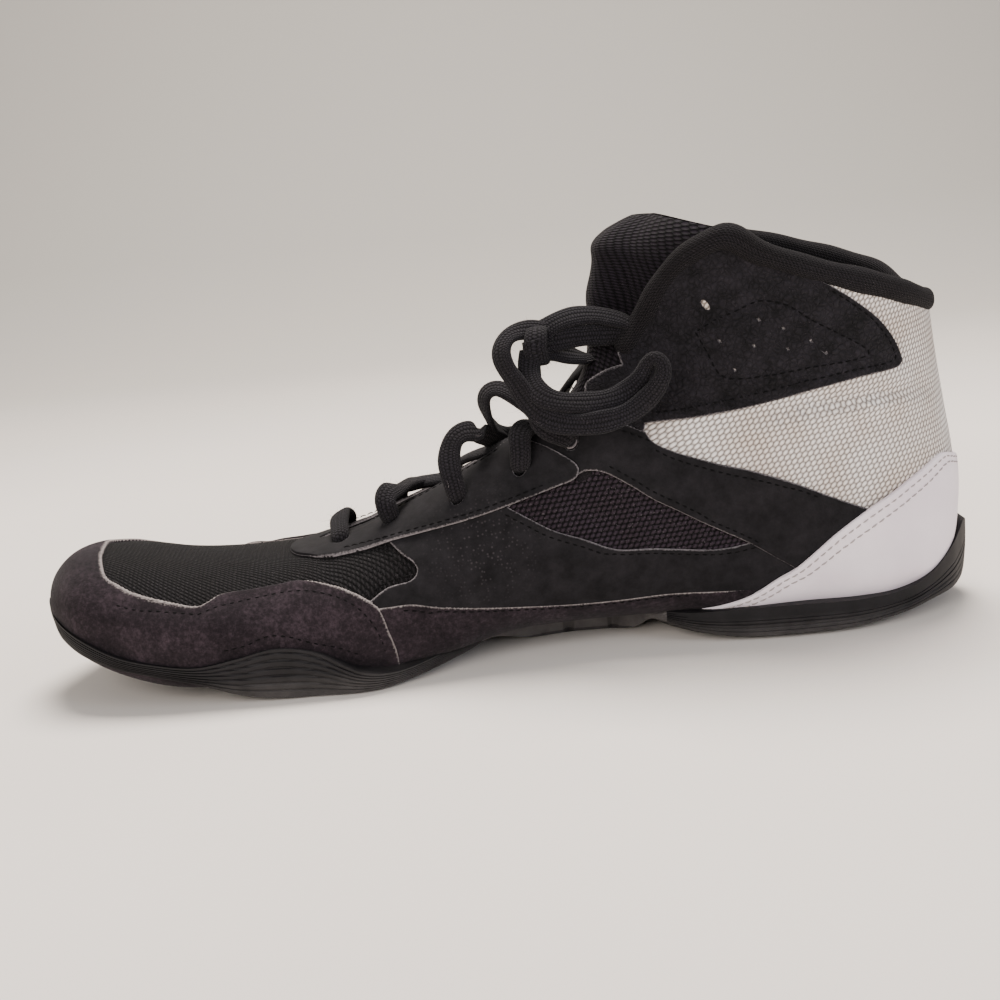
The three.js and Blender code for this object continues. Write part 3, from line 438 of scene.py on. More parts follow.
# A piece of cloth or leather lying on the skin, with a rounded cut edge all round.
def makePanel(name, loops, look, material, lines=(), space=sideSpace, lift=None, zones=None):
    places, triangles = fill(loops, look.get("spacing", 1.5) * mm, look.get("edgeStep", 0.6) * mm,
                             [0.22 * mm, 0.55 * mm, 1.1 * mm], lines)
    s, v = places.T
    base = skin(s, v)
    normal = skinNormal(s, v)
    outline = np.concatenate([densify(loop * planeScale, 0.4 * mm) / planeScale for loop in loops])
    shown = (outline[:, 0] > 0.6) & (np.abs(outline[:, 1]) < 0.99)
    rim = distances(treeOf(skin(*outline[shown].T)), base)
    rounded = np.sqrt(np.clip(1 - (1 - np.clip(rim / (look["round"] * mm), 0, 1)) ** 2, 0, 1))
    height = look["thickness"] * mm * (0.35 + 0.65 * rounded)
    for line in lines:
        gap = distances(treeOf(skin(*line.T)), base)
        height -= look.get("dip", 0.22) * mm * np.exp(-(gap / (0.75 * mm)) ** 2)
    bottom = look["out"] * mm + relief(base)
    if lift is not None:
        bottom = bottom + lift(base)
    upper = base + normal * (bottom + height)[:, None]
    under = base + normal * bottom[:, None]
    a, b, c = upper[triangles[:, 0]], upper[triangles[:, 1]], upper[triangles[:, 2]]
    if (np.cross(b - a, c - a) * normal[triangles[:, 0]]).sum() < 0:
        triangles = triangles[:, ::-1]
    count = len(upper)
    used = {}
    for t in triangles:
        for i, j in ((t[0], t[1]), (t[1], t[2]), (t[2], t[0])):
            used[(i, j)] = True
    border = [(i, j) for i, j in used if (j, i) not in used]
    faces = [tuple(t) for t in triangles]
    faces += [tuple(t[::-1] + count) for t in triangles]
    faces += [(j, i, i + count, j + count) for i, j in border]
    vertices = np.concatenate([upper, under])
    kinds = None
    if zones is not None:
        kinds = np.concatenate([zones(base[triangles].mean(1)),
                                np.full(len(triangles) + len(border), len(material) - 1)])
    return newPiece(name, vertices, faces, material, uv=space(vertices),
                    rim=np.concatenate([rim / wear(base), np.full(count, 2 * mm)]) / mm, faceMaterials=kinds)


# Sewn thread: a short arched stitch at every step along lines on the skin.
def makeStitches(name, lines, look, material):
    rings, sides = 5, 6
    template = []
    for i in range(rings):
        t = i / (rings - 1) * 2 - 1
        thick = look["width"] / 2 * (1 - 0.45 * t * t)
        for k in range(sides):
            angle = 2 * math.pi * k / sides
            arch = 0.22 * look["width"] - 0.55 * look["width"] * t * t
            template.append((t * look["length"] / 2, math.cos(angle) * thick,
                             math.sin(angle) * thick * 0.8 + arch))
    template = np.array(template) * mm
    faces = []
    for i in range(rings - 1):
        for k in range(sides):
            a, b = i * sides + k, i * sides + (k + 1) % sides
            faces.append((a, a + sides, b + sides, b))
    faces.append(tuple(range(sides)))
    faces.append(tuple(range((rings - 1) * sides, rings * sides))[::-1])
    faces = [tuple(f) for f in faces]
    allVertices, allFaces = [], []
    for line, out in lines:
        path = onSkin(line, out * mm)
        way = np.concatenate([[0], np.cumsum(np.linalg.norm(np.diff(path, axis=0), axis=1))])
        spots = np.arange(0.5, way[-1] / (look["pitch"] * mm)) * look["pitch"] * mm
        if len(spots) < 1:
            continue
        s = np.interp(spots, way, line[:, 0])
        v = np.interp(spots, way, line[:, 1])
        middle = np.stack([np.interp(spots, way, path[:, k]) for k in range(3)], -1)
        ahead = np.stack([np.interp(spots + 0.3 * mm, way, path[:, k]) for k in range(3)], -1) - middle
        ahead /= np.maximum(np.linalg.norm(ahead, axis=1, keepdims=True), 1e-9)
        normal = skinNormal(s, v)
        beside = np.cross(normal, ahead)
        jitter = random.normal(0, 0.05, (len(spots), 1))
        ahead = ahead + beside * jitter
        for m, a, b, n in zip(middle, ahead, beside, normal):
            start = len(allVertices) * len(template)
            allVertices.append(m + template[:, :1] * a + template[:, 1:2] * b + template[:, 2:] * n)
            allFaces += [tuple(i + start for i in f) for f in faces]
    return newPiece(name, np.concatenate(allVertices), allFaces, material, smoothAngle=80)


# A closed skin through rings of points, with a fan of triangles over each end.
def loft(rings):
    count, total = len(rings[0]), len(rings)
    vertices = np.concatenate(rings)
    faces = []
    for r in range(total - 1):
        for k in range(count):
            a, b = r * count + k, r * count + (k + 1) % count
            faces.append((a, b, b + count, a + count))
    for r, flip in ((0, True), (total - 1, False)):
        hub = len(vertices)
        vertices = np.concatenate([vertices, rings[r].mean(0, keepdims=True)])
        for k in range(count):
            a, b = r * count + k, r * count + (k + 1) % count
            faces.append((hub, b, a) if flip else (hub, a, b))
    return vertices, faces


print("surface of the last ready")


# materials
# Raised ovals of thread in staggered rows. The pitches are millimetres on the piece's flat map.
def addOvals(tree, across, up, lean=0.0, turn=0.0, full=0.5):
    uv = addNode(tree, "UVMap", uv_map="weave")
    uv = addNode(tree, "VectorRotate", {"Vector": uv, "Angle": turn}, rotation_type="Z_AXIS")
    rows = addNode(tree, "Math", (addNode(tree, "SeparateXYZ", (uv,), "Y"), up), operation="DIVIDE")
    row = addNode(tree, "Math", (rows,), operation="FLOOR")
    rise = addNode(tree, "Math", (rows,), operation="FRACT")
    rise = addNode(tree, "Math", (rise, 0.5), operation="SUBTRACT")
    shift = addNode(tree, "Math", (row, 1.0), operation="PINGPONG")
    cells = addNode(tree, "Math", (addNode(tree, "SeparateXYZ", (uv,), "X"), across), operation="DIVIDE")
    cells = addNode(tree, "Math", (shift, 0.5, cells), operation="MULTIPLY_ADD")
    cells = addNode(tree, "Math", (rise, lean, cells), operation="MULTIPLY_ADD")
    side = addNode(tree, "Math", (cells,), operation="FRACT")
    side = addNode(tree, "Math", (side, 0.5), operation="SUBTRACT")
    reach = addNode(tree, "Math", (side, side), operation="MULTIPLY")
    reach = addNode(tree, "Math", (rise, rise, reach), operation="MULTIPLY_ADD")
    reach = addNode(tree, "Math", (reach, -1 / full**2, 1.0), operation="MULTIPLY_ADD")
    return addNode(tree, "Math", (reach, 0.0), operation="MAXIMUM")


# Where a cut edge shows the pale fibres inside the hide.
def addRawEdge(tree, place, colour, edgeColour, width):
    rim = addNode(tree, "Attribute", out="Fac", attribute_name="rim")
    fray = addNode(tree, "TexNoise", {"Vector": place, "Scale": 1 / (0.6 * mm), "Detail": 3.0, "Roughness": 0.7})
    reach = addNode(tree, "Math", (fray, 2.2 * width, -0.15 * width), operation="MULTIPLY_ADD")
    amount = addNode(tree, "Math", (reach, rim), operation="SUBTRACT")
    amount = addNode(tree, "Math", (amount, 2.4), operation="MULTIPLY", use_clamp=True)
    amount = addNode(tree, "Math", (amount, 0.85), operation="MULTIPLY")
    return addNode(tree, "Mix", {0: amount, 6: colour, 7: edgeColour}, 2, data_type="RGBA")


# buffed cowhide: dead matt, almost black, with a slight grey bloom where it was rubbed
def makeNubuck(name, stops, pebble=None, scuff=None):
    material, tree, shader = newMaterial(name, {"Roughness": 0.88, "Sheen Weight": 0.02,
                                                "Specular IOR Level": 0.2})
    place = addNode(tree, "TexCoord", out="Object")
    tone = addNode(tree, "TexNoise", {"Vector": place, "Scale": 1 / (7 * mm), "Detail": 8.0, "Roughness": 0.72})
    height = addNode(tree, "TexNoise", {"Vector": place, "Scale": 1 / (0.5 * mm), "Detail": 3.0,
                                        "Roughness": 0.6})
    depth = 0.1 * mm
    if pebble is not None:
        # lumps of the pressed grain; the furrows between them are painted darker than the lumps, as painted shade
        bent = addNode(tree, "TexNoise", {"Vector": place, "Scale": 1 / (3 * mm), "Detail": 2.0}, "Color")
        bent = addNode(tree, "VectorMath", (bent, (0.0022, 0.0022, 0.0022), place), operation="MULTIPLY_ADD")
        furrow = addNode(tree, "TexVoronoi", {"Vector": bent, "Scale": 1 / (pebble * mm)},
                         feature="DISTANCE_TO_EDGE")
        lump = addNode(tree, "Math", (furrow, 3.2), operation="MULTIPLY", use_clamp=True)
        tone = addNode(tree, "Math", (tone, -0.05), operation="ADD")
        tone = addNode(tree, "Math", (lump, 0.15, tone), operation="MULTIPLY_ADD")
        height = addNode(tree, "Math", (height, 0.25, lump), operation="MULTIPLY_ADD")
        depth = 0.5 * mm
    colour = addNode(tree, "ValToRGB", (tone,), stops=stops)
    if scuff is not None:
        centre, reach = scuff
        away = addNode(tree, "VectorMath", (place, centre), "Value", operation="DISTANCE")
        near = addNode(tree, "Math", (away, -1 / reach, 1.0), operation="MULTIPLY_ADD", use_clamp=True)
        dots = addNode(tree, "TexVoronoi", {"Vector": place, "Scale": 1 / (1.3 * mm), "Randomness": 0.55})
        dots = addNode(tree, "Math", (dots, -4.0, 1.25), operation="MULTIPLY_ADD", use_clamp=True)
        worn = addNode(tree, "Math", (near, dots), operation="MULTIPLY")
        worn = addNode(tree, "Math", (worn, 0.3), operation="MULTIPLY")
        colour = addNode(tree, "Mix", {0: worn, 6: colour, 7: "#6e666a"}, 2, data_type="RGBA")
    colour = addRawEdge(tree, place, colour, "#8d878a", 0.42)
    tree.links.new(colour, shader.inputs["Base Color"])
    bump = addNode(tree, "Bump", {"Height": height, "Distance": depth, "Strength": 0.8})
    tree.links.new(bump, shader.inputs["Normal"])
    return material


# split cowhide with a raised nap: brown-black, brushed lighter in patches
def makeSuede():
    material, tree, shader = newMaterial("splitSuede", {"Roughness": 0.96, "Sheen Weight": 0.06,
                                                        "Sheen Roughness": 0.45, "Specular IOR Level": 0.12})
    place = addNode(tree, "TexCoord", out="Object")
    patch = addNode(tree, "TexNoise", {"Vector": place, "Scale": 1 / (15 * mm), "Detail": 3.0, "Roughness": 0.6})
    nap = addNode(tree, "TexNoise", {"Vector": place, "Scale": 1 / (1.3 * mm), "Detail": 7.0, "Roughness": 0.8})
    both = addNode(tree, "Math", (patch, 0.36), operation="MULTIPLY")
    both = addNode(tree, "Math", (nap, 0.62, both), operation="MULTIPLY_ADD")
    stops = ((0.36, "#100d10"), (0.50, "#241e22"), (0.66, "#43383f"))
    colour = addNode(tree, "ValToRGB", (both,), stops=stops)
    colour = addRawEdge(tree, place, colour, "#9c9492", 0.6)
    tree.links.new(colour, shader.inputs["Base Color"])
    fibre = addNode(tree, "TexNoise", {"Vector": place, "Scale": 1 / (0.35 * mm), "Detail": 4.0,
                                       "Roughness": 0.7})
    height = addNode(tree, "Math", (fibre, nap), operation="ADD")
    bump = addNode(tree, "Bump", {"Height": height, "Distance": 0.22 * mm, "Strength": 0.9})
    tree.links.new(bump, shader.inputs["Normal"])
    return material


# cloth of raised thread: matt and soft, with loose hairs, and painted glints where some hairs catch the light
# across, up and turn place the threads (mm, degrees), and stops run from the ground, darkened as painted shade
# between the threads, to a painted highlight on the thread's top.
def makeCloth(name, across, up, lean, turn, full, stops, fuzz, depth, glintAmount=0.0, sheen=0.02):
    material, tree, shader = newMaterial(name, {"Roughness": 0.92, "Sheen Weight": sheen, "Sheen Roughness": 0.5,
                                                "Specular IOR Level": 0.18})
    place = addNode(tree, "TexCoord", out="Object")
    lifted = addOvals(tree, across, up, lean, math.radians(turn), full)
    hair = addNode(tree, "TexNoise", {"Vector": place, "Scale": 1 / (0.45 * mm), "Detail": 4.0,
                                      "Roughness": 0.78})
    lit = addNode(tree, "Math", (lifted, 1 - fuzz), operation="MULTIPLY")
    lit = addNode(tree, "Math", (hair, fuzz, lit), operation="MULTIPLY_ADD")
    colour = addNode(tree, "ValToRGB", (lit,), stops=stops)
    worn = addNode(tree, "TexNoise", {"Vector": place, "Scale": 1 / (17 * mm), "Detail": 3.0})
    worn = addNode(tree, "ValToRGB", (worn,), stops=((0.3, "#ebe3dc"), (0.7, "#ffffff")))
    colour = addNode(tree, "Mix", {0: 1.0, 6: colour, 7: worn}, 2, data_type="RGBA", blend_type="MULTIPLY")
    # painted glints: pale specks of painted light on the loose hairs
    paintedGlints = addNode(tree, "Math", (hair, -0.6), operation="ADD")
    paintedGlints = addNode(tree, "Math", (paintedGlints, glintAmount), operation="MULTIPLY", use_clamp=True)
    colour = addNode(tree, "Mix", {0: paintedGlints, 6: colour, 7: "#aaa0a6"}, 2, data_type="RGBA")
    tree.links.new(colour, shader.inputs["Base Color"])
    height = addNode(tree, "Math", (hair, 0.3, lifted), operation="MULTIPLY_ADD")
    bump = addNode(tree, "Bump", {"Height": height, "Distance": depth * mm, "Strength": 0.95})
    tree.links.new(bump, shader.inputs["Normal"])
    return material


# coated calf leather: off-white with a lilac cast, smooth and lightly glossy
def makeWhiteLeather():
    material, tree, shader = newMaterial("coatedLeather", {"Roughness": 0.5, "Coat Weight": 0.1,
                                                           "Coat Roughness": 0.4})
    place = addNode(tree, "TexCoord", out="Object")
    tone = addNode(tree, "TexNoise", {"Vector": place, "Scale": 1 / (22 * mm), "Detail": 3.0})
    colour = addNode(tree, "ValToRGB", (tone,), stops=((0.3, "#e3d6de"), (0.7, "#f0e6ec")))
    low = addNode(tree, "SeparateXYZ", (place,), "Z")
    dirt = addNode(tree, "Math", (tone, 0.006, low), operation="MULTIPLY_ADD")
    dirt = addNode(tree, "Math", (dirt, -18.0, 0.34), operation="MULTIPLY_ADD", use_clamp=True)
    colour = addNode(tree, "Mix", {0: dirt, 6: colour, 7: "#a59a97"}, 2, data_type="RGBA")
    tree.links.new(colour, shader.inputs["Base Color"])
    pores = addNode(tree, "TexVoronoi", {"Vector": place, "Scale": 1 / (0.7 * mm)})
    bump = addNode(tree, "Bump", {"Height": pores, "Distance": 0.03 * mm, "Strength": 0.4})
    tree.links.new(bump, shader.inputs["Normal"])
    return material


# moulded rubber: black and satin, with grey dust that settles towards the ground
def makeRubber(name, dark, light, dust):
    material, tree, shader = newMaterial(name, {"Roughness": 0.62, "Specular IOR Level": 0.26})
    place = addNode(tree, "TexCoord", out="Object")
    tone = addNode(tree, "TexNoise", {"Vector": place, "Scale": 1 / (9 * mm), "Detail": 6.0, "Roughness": 0.7})
    colour = addNode(tree, "ValToRGB", (tone,), stops=((0.3, dark), (0.72, light)))
    low = addNode(tree, "SeparateXYZ", (place,), "Z")
    dusty = addNode(tree, "Math", (low, -dust / 0.008, dust), operation="MULTIPLY_ADD", use_clamp=True)
    dusty = addNode(tree, "Math", (dusty, tone), operation="MULTIPLY")
    colour = addNode(tree, "Mix", {0: dusty, 6: colour, 7: "#6d6968"}, 2, data_type="RGBA")
    tree.links.new(colour, shader.inputs["Base Color"])
    fine = addNode(tree, "TexNoise", {"Vector": place, "Scale": 1 / (0.6 * mm), "Detail": 3.0})
    bump = addNode(tree, "Bump", {"Height": fine, "Distance": 0.06 * mm, "Strength": 0.5})
    tree.links.new(bump, shader.inputs["Normal"])
    return material


# pressed fibre board under the insole: brown, dry and speckled
def makeBoard():
    material, tree, shader = newMaterial("fibreBoard", {"Roughness": 0.95, "Specular IOR Level": 0.15})
    place = addNode(tree, "TexCoord", out="Object")
    speck = addNode(tree, "TexNoise", {"Vector": place, "Scale": 1 / (1.2 * mm), "Detail": 5.0, "Roughness": 0.7})
    colour = addNode(tree, "ValToRGB", (speck,), stops=((0.35, "#3a2e24"), (0.68, "#6b5947")))
    tree.links.new(colour, shader.inputs["Base Color"])
    bump = addNode(tree, "Bump", {"Height": speck, "Distance": 0.08 * mm, "Strength": 0.6})
    tree.links.new(bump, shader.inputs["Normal"])
    return material


# twisted sewing thread, dull
def makeThread(name, colour):
    material, tree, shader = newMaterial(name, {"Base Color": toLinear(colour), "Roughness": 0.85,
                                                "Specular IOR Level": 0.15})
    place = addNode(tree, "TexCoord", out="Object")
    twist = addNode(tree, "TexNoise", {"Vector": place, "Scale": 1 / (0.25 * mm)})
    bump = addNode(tree, "Bump", {"Height": twist, "Distance": 0.05 * mm, "Strength": 0.6})
    tree.links.new(bump, shader.inputs["Normal"])
    return material


nubuck = makeNubuck("buffedNubuck", ((0.34, "#0b0a0c"), (0.70, "#201e21")),
                    scuff=((-0.009, -0.033, 0.038), 0.021))
pebbled = makeNubuck("pebbledNubuck", ((0.34, "#080709"), (0.74, "#242126")), pebble=1.7)
suede = makeSuede()
# in each cloth the darkest stop is painted shade between the threads and the lightest a painted highlight on
# their tops
weave = makeCloth("jacquardCloth", 2.1, 1.2, 0.0, -55, 0.54,
                  ((0.08, "#8b8581"), (0.42, "#cdc6c1"), (0.82, "#fffcf9")), 0.15, 0.5, sheen=0.1)
vampMesh = makeCloth("vampMesh", 1.6, 1.1, 0.5, 32, 0.5, ((0.22, "#000001"), (0.85, "#1f1d20")), 0.3, 0.8, 2.2)
windowMesh = makeCloth("windowMesh", 1.8, 1.5, 0.4, -62, 0.5, ((0.16, "#010001"), (0.75, "#322a33")),
                       0.35, 0.5, 3.5)
knit = makeCloth("paddedKnit", 1.15, 0.8, 0.9, 0, 0.56, ((0.2, "#020203"), (0.8, "#232024")), 0.4, 0.5, 1.0)
tongueKnit = makeCloth("tongueKnit", 1.7, 1.4, 0.2, 38, 0.52, ((0.2, "#010102"), (0.8, "#221d25")),
                       0.35, 0.4, 1.0)
lining = makeCloth("liningKnit", 2.2, 1.5, 0.9, 0, 0.56, ((0.2, "#070708"), (0.8, "#171618")), 0.4, 0.4)
braid = makeCloth("cottonBraid", 0.95, 0.8, 0.0, 0, 0.56, ((0.2, "#020203"), (0.8, "#232127")),
                  0.45, 0.35, 1.6, 0.04)
whiteLeather = makeWhiteLeather()
rubber = makeRubber("mouldedRubber", "#0b0a0c", "#1a181b", 0.75)
# the shank wall's rubber is painted a lighter grey: partly dust, partly painted light for the floor's bounce on a
# wall in shadow
shankRubberDustAndPaintedLight = makeRubber("shankRubberDustAndPaintedLight", "#4c4949", "#6c6867", 0.2)
blackThread = makeThread("blackThread", "#030304")
greyThread = makeThread("greyThread", "#a39b99")
print("materials ready")


# seam lines, in shares of the length and the collar height, seen from the side
seams = {
    "notch": [(0.093, 0.665), (0.096, 0.682), (0.115, 0.709), (0.133, 0.722)],
    "collar": [(0.130, 0.749), (0.146, 0.800), (0.161, 0.852), (0.173, 0.906), (0.191, 0.960), (0.209, 0.992),
               (0.230, 1.002), (0.249, 0.999), (0.272, 0.976), (0.301, 0.950), (0.333, 0.921), (0.371, 0.891),
               (0.415, 0.855), (0.443, 0.828), (0.462, 0.808)],
    "randTop": [(-0.395, 0.285), (-0.369, 0.266), (-0.329, 0.243), (-0.316, 0.246), (-0.302, 0.258),
                (-0.285, 0.261), (-0.246, 0.265), (-0.220, 0.270),
                (-0.188, 0.262), (-0.164, 0.242), (-0.147, 0.219)],
    "randRear": [(-0.147, 0.219), (-0.138, 0.196), (-0.132, 0.150), (-0.126, 0.094), (-0.125, 0.052)],
    "arch": [(-0.142, 0.203), (-0.129, 0.203), (-0.106, 0.203), (-0.080, 0.188), (-0.048, 0.174), (0.005, 0.156),
             (0.057, 0.143), (0.108, 0.140), (0.162, 0.143), (0.214, 0.139), (0.250, 0.136)],
    "vamp": [(-0.149, 0.219), (-0.129, 0.247), (-0.106, 0.257), (-0.098, 0.276), (-0.101, 0.297),
             (-0.113, 0.318), (-0.129, 0.350)],
    "counter": [(0.190, 0.086), (0.195, 0.090), (0.219, 0.101), (0.248, 0.123), (0.276, 0.160), (0.298, 0.188),
                (0.338, 0.264), (0.373, 0.318), (0.401, 0.352), (0.434, 0.391), (0.455, 0.416), (0.467, 0.418),
                (0.483, 0.402)],
    "fabricLow": [(0.388, 0.300), (0.368, 0.321), (0.335, 0.357), (0.296, 0.402), (0.256, 0.440), (0.219, 0.467),
                  (0.178, 0.503), (0.157, 0.530), (0.150, 0.552)],
    "fabricHigh": [(0.150, 0.578), (0.170, 0.580), (0.204, 0.584), (0.251, 0.598), (0.286, 0.613), (0.324, 0.631),
                   (0.374, 0.649), (0.408, 0.656), (0.418, 0.667), (0.419, 0.682), (0.411, 0.729),
                   (0.395, 0.783), (0.370, 0.835), (0.346, 0.876), (0.325, 0.905)],
    "ankle": [(0.085, 0.640), (0.094, 0.604), (0.112, 0.592), (0.130, 0.578), (0.150, 0.556)],
    "eyestay": [(-0.185, 0.310), (-0.156, 0.323),
                (-0.106, 0.348), (-0.042, 0.380), (0.001, 0.407), (0.052, 0.441), (0.071, 0.455), (0.077, 0.472),
                (0.076, 0.490), (0.064, 0.512), (0.046, 0.535), (0.020, 0.557)],
    "window": [(0.001, 0.404), (0.022, 0.372), (0.046, 0.337), (0.077, 0.307), (0.109, 0.275), (0.149, 0.268),
               (0.201, 0.252), (0.228, 0.251), (0.250, 0.259)],
    "leaf": [(0.208, 0.793), (0.227, 0.819), (0.248, 0.838), (0.272, 0.858), (0.298, 0.843), (0.322, 0.802),
             (0.346, 0.767), (0.373, 0.726), (0.381, 0.704), (0.366, 0.692), (0.318, 0.685), (0.282, 0.676),
             (0.244, 0.672), (0.228, 0.689), (0.219, 0.736)],
}
throatInner = [(-0.205, -0.098), (-0.192, -0.120), (-0.171, -0.136), (-0.137, -0.163), (-0.096, -0.190),
               (-0.048, -0.212), (0.000, -0.223), (0.041, -0.228), (0.082, -0.239), (0.116, -0.250)]
throatOuter = [(-0.205, -0.076), (-0.192, -0.043), (-0.171, -0.011), (-0.137, 0.033), (-0.096, 0.071),
               (-0.048, 0.109), (0.000, 0.141), (0.041, 0.168), (0.082, 0.196), (0.116, 0.217)]
eyelets = {
    -1: [(-0.177, 0.332), (-0.120, 0.374), (-0.048, 0.427), (0.018, 0.490), (0.073, 0.546)],
    1: [(-0.177, 0.318), (-0.120, 0.342), (-0.048, 0.390), (0.018, 0.431), (0.073, 0.453)],
}
topEyelet = (0.219, 0.858)
inner, outer = -1, 1


def seam(name, side):
    return sideLine(seams[name], side)


throat = {inner: planLine(throatInner), outer: planLine(throatOuter)}
# the outer side of the collar stands a few millimetres higher than the inner side
outerCollar = [(x, z + 0.040 * smoothstep(x, 0.24, 0.33) * (1 - smoothstep(x, 0.440, 0.462)))
               for x, z in seams["collar"]]
collar = {inner: seam("collar", inner), outer: sideLine(outerCollar, outer)}
notch = {side: seam("notch", side) for side in (inner, outer)}


def holeRound(place, radius):
    s, v = place
    here = skin(s, v)
    ds = np.linalg.norm(skin(s + 0.02, v) - here) / 0.02
    dv = np.linalg.norm(skin(s, v + 0.002) - here) / 0.002
    turn = np.linspace(0, 2 * math.pi, 20, endpoint=False)
    return np.stack([s + radius * np.cos(turn) / ds, v + radius * np.sin(turn) / dv], -1)


eyeletPlaces = {side: sideLine(eyelets[side], side, smooth=False) for side in (inner, outer)}
holes = {side: [holeRound(place, 2.3 * mm) for place in eyeletPlaces[side]] for side in (inner, outer)}
pricks = [(0.270, 0.813), (0.294, 0.787), (0.231, 0.768), (0.264, 0.751), (0.297, 0.736), (0.321, 0.750),
          (0.336, 0.717), (0.244, 0.695)]
# the top eyelet and the pinholes of the ankle panel show the white cloth under it
topHoles = {}
for side in (inner, outer):
    topHoles[side] = [holeRound(sideLine([topEyelet], side, smooth=False)[0], 1.35 * mm)]
    topHoles[side] += [holeRound(place, 0.3 * mm) for place in sideLine(pricks, side, smooth=False)]


# Moves a line on the skin by a distance at right angles to itself.
def shifted(line, distance):
    flat = line * planeScale
    way = np.gradient(flat, axis=0)
    normal = np.stack([-way[:, 1], way[:, 0]], -1)
    normal /= np.maximum(np.linalg.norm(normal, axis=1, keepdims=True), 1e-12)
    return (flat + normal * distance) / planeScale


def straight(*places):
    return np.array(places, float)


# Upper: one hollow skin of cloth, open at the throat and collar and underneath.
upperLook = {"out": -2.0, "thickness": 2.0, "round": 0.8, "spacing": 1.7}
backMiddle = 1 + backWidth / 2
heelTop = (collar[inner][-1][0] + collar[outer][-1][0]) / 2


def upperOutline():
    parts = []
    for side in (inner, outer):
        edge = throat[side]
        edge = edge[edge[:, 0] < notch[side][0, 0] - 0.05]
        rise = straight(*[(s, side * backMiddle) for s in np.linspace(16.5, heelTop, 60)])
        sole = straight(*[(s, side) for s in np.linspace(0, 16.1, 120)])
        part = np.concatenate([sole, rise, collar[side][:-1][::-1], notch[side][::-1], edge[::-1]])
        parts.append(part)
    return np.concatenate([parts[0], parts[1][::-1]])


# How far back points lie, as a share of the length from the middle.
def shareAlong(points):
    return (points[:, 0] - last["shift"][0]) / last["length"]


def upperZones(middle):
    x = shareAlong(middle)
    z = middle[:, 2] / last["collar"]
    kinds = np.where(z > 0.52 - (x - 0.09) * 1.19, 1, 2)
    return np.where((x < -0.04) | ((x < 0.09) & (z > 0.47)), 0, kinds)


def upperSpace(points):
    kinds = upperZones(points)[:, None]
    return np.where(kinds == 1, weaveSpace(points), np.where(kinds == 0, topSpace(points), sideSpace(points)))


upper = makePanel("upperSkin", [upperOutline(), *holes[inner], *holes[outer]], upperLook,
                  [vampMesh, weave, windowMesh, lining], space=upperSpace, zones=upperZones)
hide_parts("upper")
print("upper ready")


# Panels sewn on the upper. Heights are millimetres over the skin, so an upper panel hides the one under it.
def lowEdge(side, first, end, count=60):
    return straight(*[(s, side) for s in np.linspace(first, end, count)])


toeRandLook = {"out": 0.0, "thickness": 1.35, "round": 0.9, "stitch": 1.05}
toeTop = planLine([(-0.434, -0.225), (-0.438, -0.130), (-0.441, -0.045), (-0.443, 0.045), (-0.438, 0.120)])
randInner, randOuter = seam("randTop", inner), seam("randTop", outer)
rearInner, rearOuter = seam("randRear", inner), seam("randRear", outer)
bend = {side: sideLine([(-0.408, 0.300), (-0.422, 0.317)], side, smooth=False) for side in (inner, outer)}
toeTurn = np.concatenate([randInner[3:0:-2], bend[inner], toeTop[::6], bend[outer][::-1], randOuter[1:4:2]])
toeCrossing = curveThrough(toeTurn * planeScale, 1.2 * mm)[2:-2] / planeScale
toeRandLoop = np.concatenate([
    rearInner[::-1], randInner[:3:-1], toeCrossing, randOuter[4:], rearOuter,
    lowEdge(outer, rearOuter[-1, 0], 0.0, 90), lowEdge(inner, 0.0, rearInner[-1, 0], 90)])
toeStitch = [(-0.408, 0.262), (-0.386, 0.247), (-0.367, 0.241), (-0.326, 0.226), (-0.317, 0.228), (-0.301, 0.236),
             (-0.276, 0.242), (-0.252, 0.247), (-0.229, 0.251), (-0.208, 0.249), (-0.185, 0.238), (-0.167, 0.218),
             (-0.156, 0.195), (-0.147, 0.164), (-0.141, 0.126), (-0.138, 0.087)]
lowStitch = [(-0.301, 0.140), (-0.276, 0.149), (-0.255, 0.164), (-0.234, 0.159), (-0.208, 0.137),
             (-0.185, 0.120), (-0.161, 0.091)]
toeRows = [sideLine(line, side) for line in (toeStitch, lowStitch) for side in (inner, outer)]


def atToe(points):
    # the hide is skived thin round the tip
    x = shareAlong(points)
    return -0.35 * mm * (1 - smoothstep(x, -0.485, -0.455))


toeRand = makePanel("toeRand", [toeRandLoop], toeRandLook, suede, lines=toeRows, lift=atToe)
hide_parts("toe_rand")
print("toe rand ready")

